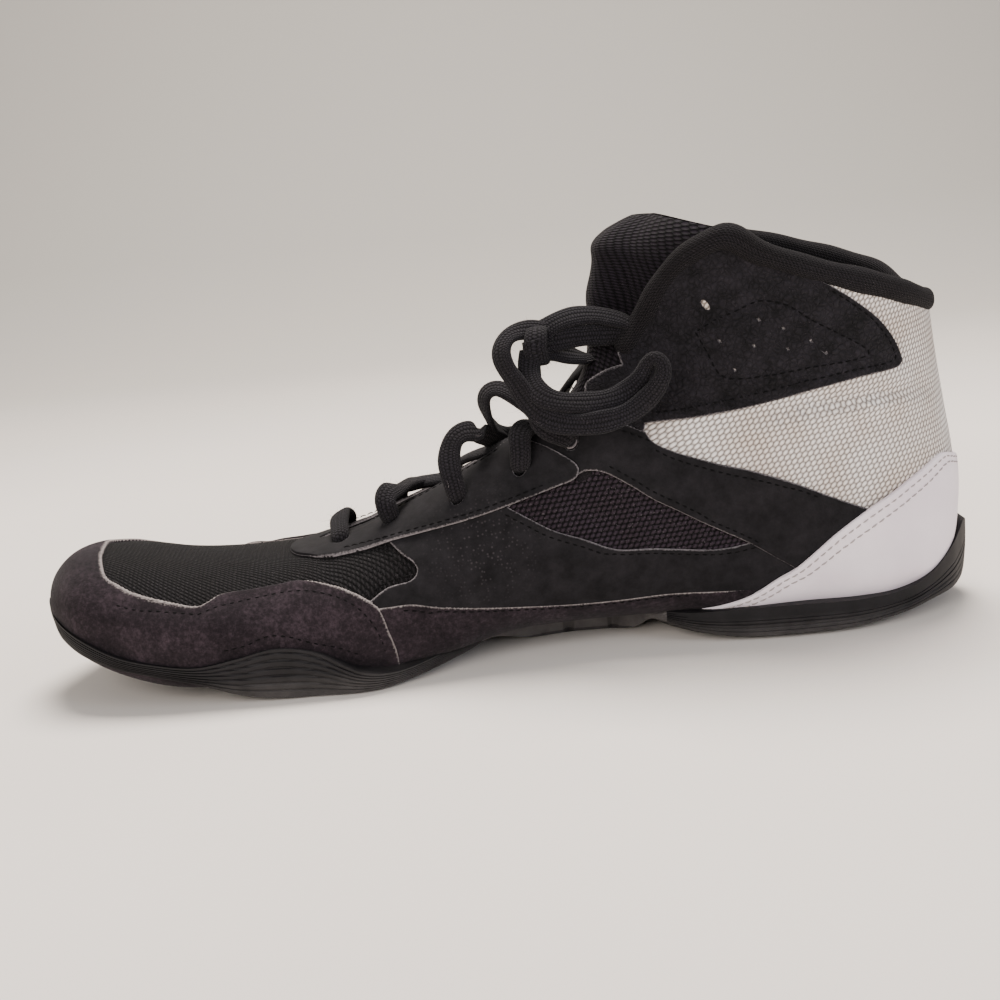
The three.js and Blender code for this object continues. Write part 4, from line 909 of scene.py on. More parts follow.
# rows of stitches, each with its height over the skin (mm)
stitchRows = [(row, toeRandLook["stitch"]) for row in toeRows]
archLook = {"out": 0.0, "thickness": 1.15, "round": 0.7, "stitch": 0.9}
quarterLook = {"out": 0.0, "thickness": 0.85, "round": 0.6, "stitch": 0.6}
strapLook = {"out": 0.0, "thickness": 1.25, "round": 0.7, "stitch": 1.0}
ankleLook = {"out": 0.0, "thickness": 0.9, "round": 0.6, "dip": 0.4, "stitch": 0.55}
for side, word in ((inner, "inner"), (outer, "outer")):
    archLine = seam("arch", side)
    archLoop = np.concatenate([archLine, lowEdge(side, 14.2, 9.0)])
    archRow = shifted(archLine, side * 1.5 * mm)[8:-16]
    arch = makePanel(f"archRand_{word}", [archLoop], archLook, suede, lines=[archRow])
    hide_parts(f"arch_rand_{word}")
    stitchRows.append((archRow, archLook["stitch"]))

    vampRow = shifted(seam("vamp", side), -side * 1.4 * mm)[3:-2]
    windowRow = shifted(seam("window", side), side * 1.3 * mm)
    quarterLoop = np.concatenate([
        seam("vamp", side),
        sideLine([(-0.118, 0.362), (-0.080, 0.380), (-0.030, 0.408), (0.000, 0.424), (0.010, 0.416)], side),
        seam("window", side), sideLine([(0.262, 0.262), (0.283, 0.227), (0.304, 0.190)], side),
        sideLine([(0.300, 0.172), (0.285, 0.147), (0.262, 0.115)], side),
        sideLine([(0.240, 0.116), (0.200, 0.122), (0.100, 0.122), (0.000, 0.136), (-0.080, 0.168),
                  (-0.138, 0.186)], side)])
    lower = makePanel(f"quarter_{word}", [quarterLoop], quarterLook, nubuck,
                      lines=[vampRow, windowRow])
    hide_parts(f"quarter_{word}")
    stitchRows += [(row, quarterLook["stitch"]) for row in (vampRow, windowRow)]

    edge = throat[side]
    edge = edge[(edge[:, 0] > 11.5) & (edge[:, 0] < notch[side][0, 0] - 0.05)]
    strapLow = [(0.072, 0.462), (0.085, 0.474), (0.104, 0.466), (0.129, 0.430), (0.151, 0.392), (0.177, 0.356),
                (0.206, 0.314), (0.245, 0.261), (0.269, 0.221), (0.300, 0.170)]
    fabricLow = seam("fabricLow", side)
    strapLoop = np.concatenate([
        sideLine(strapLow, side), sideLine([(0.315, 0.190), (0.352, 0.262), (0.388, 0.296)], side), fabricLow,
        seam("ankle", side)[::-1], edge[::-1],
        sideLine([(0.035, 0.530), (0.050, 0.500), (0.062, 0.474)], side)])
    strapRows = [shifted(sideLine(strapLow, side), side * -1.4 * mm)[10:-14],
                 shifted(fabricLow, side * -1.4 * mm)[20:-3],
                 shifted(seam("ankle", side), side * 1.4 * mm)[2:]]
    strap = makePanel(f"strap_{word}", [strapLoop, *holes[side][4:]], strapLook, nubuck, lines=strapRows)
    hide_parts(f"quarter_{word}")
    stitchRows += [(row, strapLook["stitch"]) for row in strapRows]

    rim = collar[side]
    rim = rim[(rim[:, 1] * side < sideLine([(0.333, 0.921)], side, smooth=False)[0, 1] * side)]
    fabricHigh = seam("fabricHigh", side)
    ankleLoop = np.concatenate([
        fabricHigh[:-3], rim[::-1], notch[side][::-1],
        sideLine([(0.089, 0.612), (0.105, 0.574), (0.127, 0.560), (0.146, 0.549)], side)])
    leaf = sideLine(seams["leaf"] + seams["leaf"][:1], side)
    ankleRows = [shifted(fabricHigh, side * -1.4 * mm)[4:-6], leaf]
    ankle = makePanel(f"anklePanel_{word}", [ankleLoop, *topHoles[side]], ankleLook, pebbled, lines=ankleRows)
    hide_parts(f"ankle_panel_{word}")
    stitchRows += [(row, ankleLook["stitch"]) for row in ankleRows]
print("quarters and ankle panels ready")


# Eyestay: one horseshoe of nubuck round the throat, with a scalloped edge between its eyelets.
def scalloped(side):
    edge = throat[side]
    edge = edge[edge[:, 0] < sideLine([(0.022, 0.556)], side, smooth=False)[0, 0]]
    places = sideLine(eyelets[side], side, smooth=False)[:, 0]
    nearest = np.abs(edge[:, :1] - places[None]).min(1)
    dip = 0.010 - 0.022 * np.clip(nearest / 0.75, 0, 1) ** 2
    return np.stack([edge[:, 0], edge[:, 1] - side * dip * np.clip((edge[:, 0] - 8.6) / 1.0, 0, 1)], -1)


eyestayLook = {"out": 0.1, "thickness": 1.3, "round": 0.7, "stitch": 2.1}
eyestayInner, eyestayOuter = seam("eyestay", inner), seam("eyestay", outer)
frontTop = planLine([(-0.206, -0.290), (-0.226, -0.235), (-0.236, -0.165), (-0.238, -0.085), (-0.228, 0.000),
                     (-0.206, 0.075)])
frontCrossing = curveThrough(np.concatenate([eyestayInner[:1], frontTop, eyestayOuter[:1]]), 0.05)[1:-1]
eyestayLoop = np.concatenate([
    eyestayInner[::-1], frontCrossing, eyestayOuter, scalloped(outer)[::-1], scalloped(inner)])
eyestayRows = [shifted(eyestayInner, inner * -1.3 * mm)[3:-6],
               shifted(eyestayOuter, outer * -1.3 * mm)[3:-6],
               shifted(scalloped(inner), inner * 1.6 * mm)[8:-4],
               shifted(scalloped(outer), outer * 1.6 * mm)[8:-4]]


def overQuarter(points):
    # the horseshoe climbs from the vamp onto the quarters
    x = shareAlong(points)
    return 0.9 * mm * np.clip((x + 0.150) / 0.030, 0, 1) + 0.35 * mm * np.clip((x - 0.030) / 0.020, 0, 1)


eyestay = makePanel("eyestay", [eyestayLoop, *holes[inner], *holes[outer]], eyestayLook, nubuck,
                    lines=eyestayRows, lift=overQuarter)
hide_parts("eyestay_inner", "eyestay_outer")
stitchRows += [(row, eyestayLook["stitch"]) for row in eyestayRows]

# Heel counter: one piece of white leather that wraps round the back.
counterLook = {"out": 0.0, "thickness": 1.3, "round": 0.8, "stitch": 1.2}
counterInner, counterOuter = seam("counter", inner), seam("counter", outer)
around = 2 + backWidth
wrapped = counterOuter - (0, around)
counterLoop = np.concatenate([
    counterInner, wrapped[::-1],
    straight(*[(s, 1 - around) for s in np.linspace(13.3, 16.7, 40)]),
    straight(*[(s, -1) for s in np.linspace(16.7, 13.3, 40)])])


def overStrap(points):
    # the counter lies over the ends of the quarters and straps
    x = shareAlong(points)
    return 1.0 * mm * (1 - smoothstep(x, 0.385, 0.425))


counterLine = np.concatenate([counterInner, wrapped[::-1]])
counterRows = [shifted(counterLine, -1.0 * mm)[4:-4], shifted(counterLine, -2.4 * mm)[6:-6]]
counter = makePanel("heelCounter", [counterLoop], counterLook, whiteLeather, lines=counterRows,
                    space=weaveSpace, lift=overStrap)
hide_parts("heel_counter")
greyRows = [(row, counterLook["stitch"] + overStrap(skin(*row.T)) / mm) for row in counterRows]

stitchLook = {"pitch": 2.5, "length": 1.9, "width": 0.5}
stitches = makeStitches("blackStitches", stitchRows, stitchLook, blackThread)
counterStitchLook = {"pitch": 2.7, "length": 2.1, "width": 0.5}
counterStitches = makeStitches("counterStitches", greyRows, counterStitchLook, greyThread)
print("panels and stitches ready")


# Closed skin of an oval bar along a path. wide and thick are the half sizes along beside and above.
def sweep(path, beside, above, wide, thick, count=20, square=2.0):
    turn = np.linspace(0, 2 * math.pi, count + 1)
    c, s = np.cos(turn), np.sin(turn)
    c = np.sign(c) * np.abs(c) ** (2 / square)
    s = np.sign(s) * np.abs(s) ** (2 / square)
    rings = path[:, None] + beside[:, None] * (wide[:, None] * c)[..., None] \
        + above[:, None] * (thick[:, None] * s)[..., None]
    way = np.concatenate([[0], np.cumsum(np.linalg.norm(np.diff(path, axis=0), axis=1))]) / mm
    girth = math.pi * (wide.max() + thick.max()) / mm
    uv = np.stack([np.broadcast_to(way[:, None], rings.shape[:2]),
                   np.broadcast_to(turn / (2 * math.pi) * girth, rings.shape[:2])], -1).reshape(-1, 2)
    total, size = len(path), count + 1
    faces = []
    for r in range(total - 1):
        for k in range(count):
            a = r * size + k
            faces.append((a, a + 1, a + size + 1, a + size))
    faces.append(tuple(range(count))[::-1])
    faces.append(tuple((total - 1) * size + k for k in range(count)))
    return rings.reshape(-1, 3), faces, uv


def lengthOf(path):
    return np.linalg.norm(np.diff(path, axis=0), axis=1).sum()


def evenly(path, step, *others):
    way = np.concatenate([[0], np.cumsum(np.linalg.norm(np.diff(path, axis=0), axis=1))])
    spots = np.linspace(0, way[-1], max(math.ceil(way[-1] / step), 2) + 1)
    return [np.stack([np.interp(spots, way, one[:, k]) for k in range(one.shape[1])], -1)
            for one in (path, *others)]


def unit(vectors):
    return vectors / np.maximum(np.linalg.norm(vectors, axis=-1, keepdims=True), 1e-12)


def smoothed(values, times):
    for _ in range(times):
        values = np.concatenate([values[:1], (values[:-2] + 2 * values[1:-1] + values[2:]) / 4, values[-1:]])
    return values


# Collar: knit over foam, an oval roll round the top edge from one front corner to the other.
collarLook = {"across": 3.3, "up": 3.6, "sunk": 0.8, "lift": -0.3}


def makeCollar(look):
    heel = straight(*[(heelTop, -1 - backWidth * t) for t in np.linspace(0.1, 0.9, 12)])
    places = np.concatenate([collar[inner][:-1], heel, collar[outer][:-1][::-1] - (0, 2 + backWidth)])
    path, normal = evenly(skin(*places.T), 1.0 * mm, skinNormal(*places.T))
    path, normal = smoothed(path, 12), unit(smoothed(normal, 40))
    ahead = unit(np.gradient(path, axis=0))
    above = unit(np.cross(ahead, normal))
    above *= np.sign(above[:, 2].mean())
    way = np.arange(len(path)) / (len(path) - 1)
    rounding = 0.012  # share of the roll's length that each end rounds off over
    ends = np.sqrt(np.clip(1 - (1 - np.clip(np.minimum(way, 1 - way) / rounding, 0, 1)) ** 2, 0.01, 1))
    swell = 1 + 0.05 * np.sin(way * 41) + 0.04 * np.sin(way * 97 + 1)
    # a bulge on the inner front corner, where the padding bunches up
    bump = np.exp(-((path[:, 0] - 0.0700) / 0.006) ** 2) * (path[:, 1] < 0)
    path = path - normal * look["sunk"] * mm + above * (look["lift"] * mm + bump[:, None] * 2.4 * mm)
    vertices, faces, uv = sweep(path, normal, above, look["across"] * mm * ends * swell * (1 + 0.12 * bump),
                                look["up"] * mm * ends * swell * (1 + 0.12 * bump), 30, 2.3)
    piece = newPiece("collarRoll", vertices, faces, knit, smoothAngle=180, uv=uv)
    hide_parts("collar_roll")


makeCollar(collarLook)
print("collar ready")


# Tongue: a thin skirt under the throat that thickens to a padded top in front of the ankle.
tongueLook = {"start": 7.7, "top": 22.75, "curl": 12.0, "skirt": 2.2, "thickness": 6.5, "wall": 2.0,
              "gap": 0.3, "roll": 3.0}


def makeTongue(look):
    rows = np.sin(np.linspace(0, 1, 110) * math.pi / 2)
    columns = np.linspace(-1, 1, 61)
    up, across = np.meshgrid(rows, columns, indexing="ij")
    reach = np.abs(across)
    place = look["top"] + 0.9 * reach
    s = look["start"] + (place - look["start"]) * up
    padded = smoothstep(s, 11, 17)
    edge = 0.2 + 0.2 * smoothstep(s, look["start"], 16)
    high, low = look["wall"] + look["gap"], look["wall"] / 2 + look["roll"] + 2 * look["gap"]
    sunk = high + (low - high) * padded
    bulge = sunk + 1.4 * smoothstep(s, 13.5, 16) - 2 * look["gap"]
    bulge = padded * (1 - smoothstep(reach, 0.14, 0.42)) * bulge
    curl = look["curl"] * (1 - 0.8 * reach) * (np.clip(s - place + 2.45, 0, None) / 2.5) ** 2.2
    full = look["skirt"] + (look["thickness"] - look["skirt"]) * padded * (1 - reach**4)
    thickness = full * np.sqrt(np.maximum(1 - (np.maximum(up - 0.93, 0) / 0.075) ** 2, 0.05))
    out = -sunk + bulge - curl - (full - thickness) / 2
    v = across * edge
    base, normal = skin(s, v), skinNormal(s, v)
    wave = 0.25 * np.sin(across * 9 + up * 13) * padded + 0.3 * np.sin(up * 31) * padded * (1 - reach**2)
    upper = base + normal * ((out + wave) * mm)[..., None]
    under = base + normal * ((out - thickness) * mm)[..., None]
    rings = [np.concatenate([u, w[::-1]]) for u, w in zip(upper, under)]
    vertices, faces = loft(rings)
    uv = np.concatenate([np.stack([np.concatenate([a * 26, a[::-1] * 26]), np.full(2 * len(a), r * 150)], -1)
                         for a, r in zip(across, rows)] + [np.zeros((2, 2))])
    piece = newPiece("tonguePad", vertices, faces, tongueKnit, smoothAngle=75, uv=uv)
    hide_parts("tongue")


makeTongue(tongueLook)
print("tongue ready")


# Outsole: a cup of rubber with fine grooves along its sides that run together at toe and arch.
soleColumns = ("x", "inner", "outer", "tread", "innerEdge", "outerEdge", "innerTop", "outerTop")
soleRows = np.array([
    (-0.5035, -0.150, -0.110, 0.208, 0.006, 0.006, 0.240, 0.240),
    (-0.499, -0.205, -0.055, 0.186, 0.016, 0.016, 0.238, 0.238),
    (-0.491, -0.275, 0.028, 0.158, 0.036, 0.036, 0.231, 0.231),
    (-0.476, -0.374, 0.146, 0.122, 0.048, 0.048, 0.214, 0.214),
    (-0.449, -0.458, 0.252, 0.086, 0.052, 0.052, 0.184, 0.184),
    (-0.411, -0.512, 0.324, 0.052, 0.056, 0.056, 0.144, 0.144),
    (-0.370, -0.538, 0.386, 0.024, 0.060, 0.056, 0.120, 0.122),
    (-0.329, -0.545, 0.438, 0.005, 0.052, 0.048, 0.106, 0.112),
    (-0.288, -0.550, 0.476, 0.000, 0.024, 0.022, 0.120, 0.118),
    (-0.247, -0.550, 0.502, 0.000, 0.008, 0.010, 0.136, 0.122),
    (-0.205, -0.540, 0.518, 0.000, 0.006, 0.008, 0.116, 0.114),
    (-0.164, -0.518, 0.524, 0.000, 0.006, 0.008, 0.062, 0.096),
    (-0.130, -0.490, 0.520, 0.000, 0.008, 0.008, 0.044, 0.092),
    (-0.096, -0.452, 0.512, 0.000, 0.020, 0.008, 0.052, 0.094),
    (-0.062, -0.385, 0.502, 0.000, 0.036, 0.008, 0.070, 0.098),
    (-0.027, -0.270, 0.489, 0.000, 0.046, 0.013, 0.084, 0.100),
    (0.014, -0.142, 0.474, 0.000, 0.006, 0.013, 0.099, 0.102),
    (0.055, -0.105, 0.458, 0.000, 0.002, 0.013, 0.099, 0.102),
    (0.096, -0.105, 0.442, 0.000, 0.002, 0.013, 0.099, 0.102),
    (0.127, -0.145, 0.432, 0.000, 0.008, 0.013, 0.094, 0.100),
    (0.147, -0.240, 0.426, 0.000, 0.050, 0.013, 0.080, 0.098),
    (0.171, -0.312, 0.420, 0.000, 0.040, 0.013, 0.080, 0.096),
    (0.199, -0.356, 0.416, 0.000, 0.025, 0.013, 0.084, 0.095),
    (0.240, -0.385, 0.414, 0.000, 0.014, 0.013, 0.090, 0.094),
    (0.300, -0.400, 0.412, 0.000, 0.013, 0.013, 0.092, 0.093),
    (0.360, -0.388, 0.400, 0.000, 0.016, 0.016, 0.088, 0.090),
    (0.411, -0.344, 0.360, 0.000, 0.030, 0.030, 0.094, 0.096),
    (0.445, -0.286, 0.302, 0.003, 0.040, 0.040, 0.120, 0.122),
    (0.473, -0.212, 0.228, 0.008, 0.042, 0.042, 0.165, 0.167),
    (0.489, -0.144, 0.158, 0.018, 0.040, 0.040, 0.196, 0.197),
    (0.498, -0.096, 0.108, 0.042, 0.032, 0.032, 0.213, 0.213),
    (0.504, -0.058, 0.068, 0.084, 0.024, 0.024, 0.206, 0.206),
    (0.507, -0.020, 0.030, 0.124, 0.012, 0.012, 0.165, 0.165),
])
soleLook = {"bevel": 1.6, "keel": 3.2, "flare": 0.043, "flareMiddle": -0.155, "flareReach": 0.045,
            "groove": 0.42, "grooves": 7, "rings": 420, "flank": 46, "over": 1.5,
            "slots": (0.056, 0.106), "slotDepth": 1.8}


def lastForm(out, places=150, columns=140):
    s = np.linspace(0.02, lastSection, places)
    v = np.linspace(-1, 1 + backWidth, columns, endpoint=False)
    rings = []
    for one in s:
        at = np.full(columns, one)
        rings.append(skin(at, v) + skinNormal(at, v) * out)
    return loft(rings)


def cutBy(piece, vertices, faces):
    tool = newPiece("cuttingForm", vertices, faces, rubber)
    cut = piece.modifiers.new("cut", "BOOLEAN")
    cut.operation = "DIFFERENCE"
    cut.solver = "MANIFOLD"
    cut.object = tool
    shape = bpy.data.meshes.new_from_object(piece.evaluated_get(bpy.context.evaluated_depsgraph_get()))
    piece.modifiers.clear()
    piece.data = shape
    bpy.data.objects.remove(tool)
    shape.set_sharp_from_angle(angle=math.radians(40))


def makeOutsole(look):
    fall = np.linspace(0, 1, look["flank"])
    rings = []
    for s in np.linspace(0, len(soleRows) - 1, look["rings"]):
        at = dict(zip(soleColumns, along(soleRows, s)))
        at["inner"] -= look["flare"] * math.exp(-((at["x"] - look["flareMiddle"]) / look["flareReach"]) ** 2)
        width = (at["outer"] - at["inner"]) * last["ball"]
        bevel = min(look["bevel"] * mm, 0.22 * width)
        depth = min(look["groove"] * mm, 0.03 * width)
        sides = []
        for side, edge, rise, top in ((-1, at["inner"], at["innerEdge"], at["innerTop"]),
                                      (1, at["outer"], at["outerEdge"], at["outerTop"])):
            # the grooves bow upward in the middle of the forefoot
            bow = 0.10 * math.exp(-((at["x"] + 0.245) / 0.05) ** 2)
            wave = np.cos(2 * math.pi * look["grooves"] * (fall + bow * (1 - fall)))
            smooth = 0.05 + 0.38 * smoothstep(at["x"], 0.15, 0.2)  # the heel is grooved only low down
            cut = depth * np.clip(1.6 * wave - 0.5, 0, 1) * (fall < 0.86) * (fall > smooth)
            if side < 0:
                # the inner wall of the shank is smooth, with two upright slots
                shank = smoothstep(at["x"], -0.045, -0.015) * (1 - smoothstep(at["x"], 0.13, 0.16))
                slot = sum(math.exp(-((at["x"] - x) / 0.0045) ** 4) for x in look["slots"])
                cut = cut * (1 - shank) + look["slotDepth"] * mm * slot * (fall > 0.1)
            z = (top + (at["tread"] + rise - top) * fall) * last["collar"]
            y = edge * last["ball"] - side * (cut + bevel * fall**3)
            inset = min(bevel + look["keel"] * rise * last["collar"], 0.4 * width)
            flat = np.array([[edge * last["ball"] - side * inset, at["tread"] * last["collar"]]])
            part = np.concatenate([np.stack([y, z], -1), flat])
            sides.append(part if side < 0 else part[::-1])
        ring = np.concatenate(sides)
        rings.append(np.column_stack([np.full(len(ring), at["x"] * last["length"]), ring]) + last["shift"])
    vertices, faces = loft(rings)
    middle = np.array([vertices[list(face)].mean(0) for face in faces])
    # the shank wall's faces get the lighter grey rubber, partly dust and partly painted light
    shank = (middle[:, 1] < 0) & (middle[:, 0] > -0.012) & (middle[:, 0] < 0.046) & (middle[:, 2] > 0.0012)
    piece = newPiece("outsoleCup", vertices, faces, [rubber, shankRubberDustAndPaintedLight], smoothAngle=40, faceMaterials=shank)
    cutBy(piece, *lastForm(look["over"] * mm))
    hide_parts("outsole")


makeOutsole(soleLook)
print("outsole ready")


# Insole: foam under cloth, seen through the open top.
insoleLook = {"first": 1.1, "end": 16.7, "above": 4.9, "thickness": 2.6, "edge": 0.94}


def makeInsole(look):
    columns = np.linspace(-1, 1, 25)
    rings = []
    for s in np.linspace(look["first"], look["end"], 120):
        ends = skin(np.full(2, s), np.array([-look["edge"], look["edge"]]))
        middle = skin(np.full(2, s), np.array([-1.0, 1.0]))
        share = (columns[:, None] + 1) / 2
        ends[0, 1] += 2.6 * mm
        ends[1, 1] -= 2.6 * mm
        top = ends[0] * (1 - share) + ends[1] * share
        top[:, 2] = middle[:, 2].mean() + look["above"] * mm + (2.2 * mm) * columns**6
        low = top - (0, 0, look["thickness"] * mm)
        rings.append(np.concatenate([top, low[::-1]]))
    vertices, faces = loft(rings)
    piece = newPiece("insoleBed", vertices, faces, lining, smoothAngle=60, uv=topSpace(vertices))
    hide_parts("insole")


makeInsole(insoleLook)
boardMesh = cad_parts["lasting_board"].data
boardMesh.materials.clear()
boardMesh.materials.append(makeBoard())
print("insole ready")


laceLook = {"wide": 6.8, "thick": 2.4, "pinchedWide": 4.1, "pinchedThick": 3.0}


def scaled(rows):
    return [tuple(np.array(row) * mm + last["shift"]) for row in rows]


# A lace comes up out of a hole, and its other end slips under the edge of the throat.
def outOf(side, k):
    place = eyeletPlaces[side][k:k + 1]
    return [tuple(onSkin(place, out * mm)[0]) for out in (-1.5, 2.2)]


def tucked(side, k, slide=0.0):
    s = eyeletPlaces[side][k][0] + slide
    v = np.interp(s, throat[side][:, 0], throat[side][:, 1])
    return [tuple(onSkin(np.array([(s, v - side * 0.03)]), -0.2 * mm)[0]),
            tuple(onSkin(np.array([(s, v + side * 0.03)]), -2.9 * mm)[0])]


lacePieces = []


# A flat lace through points, in metres. faces are the ways that its flat side looks, start to end,
# and pinches are where, as shares of its length, it bunches up as at a hole or a tight turn.
def makeLace(name, points, faces, replaced=(), pinches=()):
    path = evenly(curveThrough(np.array(points), 1.0 * mm), 0.9 * mm)[0]
    path = smoothed(path, 3)
    share = np.linspace(0, 1, len(path))
    marks = np.linspace(0, 1, len(faces))
    facing = np.stack([np.interp(share, marks, np.array(faces)[:, k]) for k in range(3)], -1)
    ahead = unit(np.gradient(path, axis=0))
    above = unit(facing - ahead * (facing * ahead).sum(1, keepdims=True))
    above = unit(smoothed(above, 8))
    above = unit(above - ahead * (above * ahead).sum(1, keepdims=True))
    beside = np.cross(above, ahead)
    way = share * lengthOf(path) / mm
    squeeze = np.zeros(len(path))
    for where, reach in pinches:
        squeeze = np.maximum(squeeze, np.exp(-((way - where * way[-1]) / reach) ** 2))
    wide = (laceLook["wide"] + (laceLook["pinchedWide"] - laceLook["wide"]) * squeeze) / 2 * mm
    thick = (laceLook["thick"] + (laceLook["pinchedThick"] - laceLook["thick"]) * squeeze) / 2 * mm
    wide = wide * (1 + 0.05 * np.sin(way * 0.45 + 1))
    vertices, faceList, uv = sweep(path, beside, above, wide, thick, 18, 2.6)
    piece = newPiece(name, vertices, faceList, braid, smoothAngle=180, uv=uv)
    if replaced:
        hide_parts(*replaced)
    lacePieces.append(piece)
    return piece, path


up, toCamera = (-0.45, 0.0, 0.9), (-0.1, -1.0, 0.25)
makeLace("laceBar", [*outOf(inner, 0), *scaled([(-53, -11, 45.6), (-53, -3, 45.2)]), *outOf(outer, 0)[::-1]],
         [toCamera, up, up, up, (0.1, 1.0, 0.3)], ["lace_bar"], [(0, 4), (1, 4)])
makeLace("laceLowerInner", [
    *outOf(inner, 1), *scaled([(-36.6, -26.8, 50.6), (-37.0, -25.5, 53.4), (-35.8, -23.5, 55.2),
                               (-33.6, -20.0, 55.2), (-30.2, -15.0, 54.3), (-26.1, -9.0, 53.6),
                               (-21.2, -3.0, 52.8), (-17.0, 4.0, 51.8)]),
    *tucked(outer, 2)],
    [toCamera, toCamera, (-0.7, -0.5, 0.6), up, up, up], ["lace_cross_lower"], [(0, 4), (1, 3)])
makeLace("laceLowerOuter", [
    *outOf(outer, 1), *scaled([(-34, 8, 50.2), (-30, 0, 52.4), (-26, -7, 54.0), (-21, -13, 55.6)]),
    *tucked(inner, 2)],
    [(0.0, 1.0, 0.5), up, up, up], [], [(0, 4), (1, 3)])
makeLace("laceMiddleInner", [
    *outOf(inner, 2), *scaled([(-15.1, -31.5, 56.3), (-15.9, -31.0, 60.3), (-16.2, -29.5, 64.1),
                               (-15.6, -28.0, 67.1), (-14.1, -27.0, 70.2), (-11.5, -26.0, 71.8),
                               (-8.5, -24.0, 71.6), (-5.6, -21.0, 69.9),
                               (-2.6, -16.0, 67.5), (0.4, -9.0, 65.0), (2.9, -1.0, 62.7), (5.0, 8.0, 60.4)]),
    *tucked(outer, 3)],
    [toCamera, toCamera, (-0.6, -0.9, 0.3), (-0.8, -0.5, 0.6), (0.0, -0.5, 0.9), up, up], ["lace_cross_middle"],
    [(0, 4), (1, 3)])
makeLace("laceMiddleOuter", [
    *outOf(outer, 2), *scaled([(-16.5, 14.0, 53.0), (-16.6, 6.0, 55.0), (-13.6, 1.0, 57.8), (-10.2, -5.0, 60.2),
                               (-7.0, -10.0, 62.0), (-3.8, -15.0, 63.4)]), *tucked(inner, 3)],
    [(0.0, 1.0, 0.5), up, up, up, up], [], [(0, 4), (1, 3)])
makeLace("laceUpperInner", [
    *outOf(inner, 3), *scaled([(5.3, -32.0, 63.1), (5.5, -32.2, 66.4), (5.6, -30.8, 69.4), (6.6, -28.5, 71.2),
                               (8.5, -25.2, 71.6), (11.0, -21.0, 70.8), (14.0, -15.0, 69.6), (17.5, -6.0, 68.6),
                               (19.5, 4.0, 67.4), (20.5, 12.0, 65.4)]),
    *tucked(outer, 4)],
    [toCamera, toCamera, (-0.3, -0.9, 0.5), (-0.2, -0.4, 0.9), up, up, up], ["lace_cross_upper"],
    [(0, 4), (1, 3)])
makeLace("laceUpperOuter", [
    *outOf(outer, 3), *scaled([(4.6, 19.0, 61.5), (3.0, 10.0, 64.0), (2.0, 0.0, 65.4), (0.6, -9.0, 66.4),
                               (-1.4, -14.0, 70.0), (-3.2, -18.0, 74.2), (-4.2, -20.0, 78.3), (-3.8, -21.0, 81.6),
                               (-1.9, -21.5, 83.4), (0.6, -22.0, 83.7), (3.4, -23.0, 82.3), (6.3, -24.0, 79.8),
                               (9.4, -24.6, 76.9), (12.4, -24.8, 73.6), (15.4, -24.4, 71.4)]),
    *tucked(inner, 4, -0.25)],
    [(0.0, 1.0, 0.5), up, up, (-0.9, -0.3, 0.2), (-0.9, -0.5, 0.3), (0.1, -0.4, 0.9), (0.5, -0.4, 0.8), up], [],
    [(0, 4), (1, 3)])
riserInner, riserInnerPath = makeLace("laceRiserInner", [
    *outOf(inner, 4), *scaled([(19.2, -31.6, 68.6), (16.2, -32.6, 70.2), (13.6, -33.0, 72.2), (12.0, -32.2, 75.4),
                               (11.0, -30.0, 79.0), (10.6, -28.0, 83.0), (10.9, -26.5, 88.3), (11.4, -25.2, 92.4),
                               (12.4, -24.2, 96.0), (15.0, -23.0, 98.4), (17.6, -22.4, 99.4)])],
    [toCamera, toCamera, (-0.5, -0.9, 0.2), (-0.7, -0.8, 0.1), toCamera], ["lace_riser_inner"], [(0, 4)])
riserOuter, riserOuterPath = makeLace("laceRiserOuter", [
    *outOf(outer, 4), *scaled([(19.6, 26.0, 64.0), (20.6, 20.0, 71.0), (24.6, 12.0, 79.0), (29.6, 3.0, 85.4),
                               (31.4, -5.0, 88.2), (30.0, -10.0, 89.0), (27.0, -13.5, 89.8), (23.2, -17.0, 91.4),
                               (17.6, -21.0, 93.3), (13.3, -24.0, 93.7)])],
    [(0.0, 1.0, 0.5), (-0.6, 0.5, 0.6), (-0.6, -0.2, 0.7), (-0.3, -0.7, 0.6), (-0.2, -0.9, 0.4)],
    ["lace_riser_outer"], [(0, 4)])
nearLoop, nearLoopPath = makeLace("laceNearLoop", scaled([
    (11.4, -26.4, 94.2), (10.2, -29.0, 89.6), (10.5, -32.0, 86.6), (11.6, -35.0, 84.0), (13.8, -37.0, 81.9),
    (18.3, -38.2, 80.2), (24.1, -38.4, 79.4), (29.9, -38.8, 79.4), (35.3, -39.0, 80.4), (39.6, -39.3, 82.6),
    (42.5, -39.8, 85.9), (44.3, -40.3, 89.4), (46.6, -40.8, 91.2), (48.5, -41.2, 89.6), (48.9, -41.6, 86.6),
    (47.2, -41.8, 83.2), (44.0, -41.8, 79.8), (39.8, -41.6, 76.6), (34.1, -41.6, 74.4), (27.6, -41.4, 73.5),
    (21.5, -40.6, 73.5), (15.2, -38.8, 75.1), (11.0, -36.8, 77.9), (8.2, -34.2, 82.1), (6.0, -32.2, 86.4),
    (3.6, -30.2, 90.4), (2.4, -28.6, 94.0), (2.9, -27.2, 97.0), (5.0, -25.7, 99.4), (8.1, -24.6, 100.5),
    (11.8, -23.6, 100.6), (15.6, -22.6, 99.8)]),
    [toCamera, (-0.3, -0.9, 0.3), (0.1, -0.8, 0.6), (0.2, -0.8, 0.5), (0.3, -0.8, 0.4), (0.3, -0.9, 0.1),
     (0.2, -0.9, -0.2), (0.1, -1.0, 0.0), (0.0, -1.0, 0.2), (-0.3, -0.9, 0.0), (-0.7, -0.7, 0.1),
     (-0.6, -0.6, 0.5), (0.0, -0.8, 0.6)],
    ["lace_loop"], [(0.385, 8)])
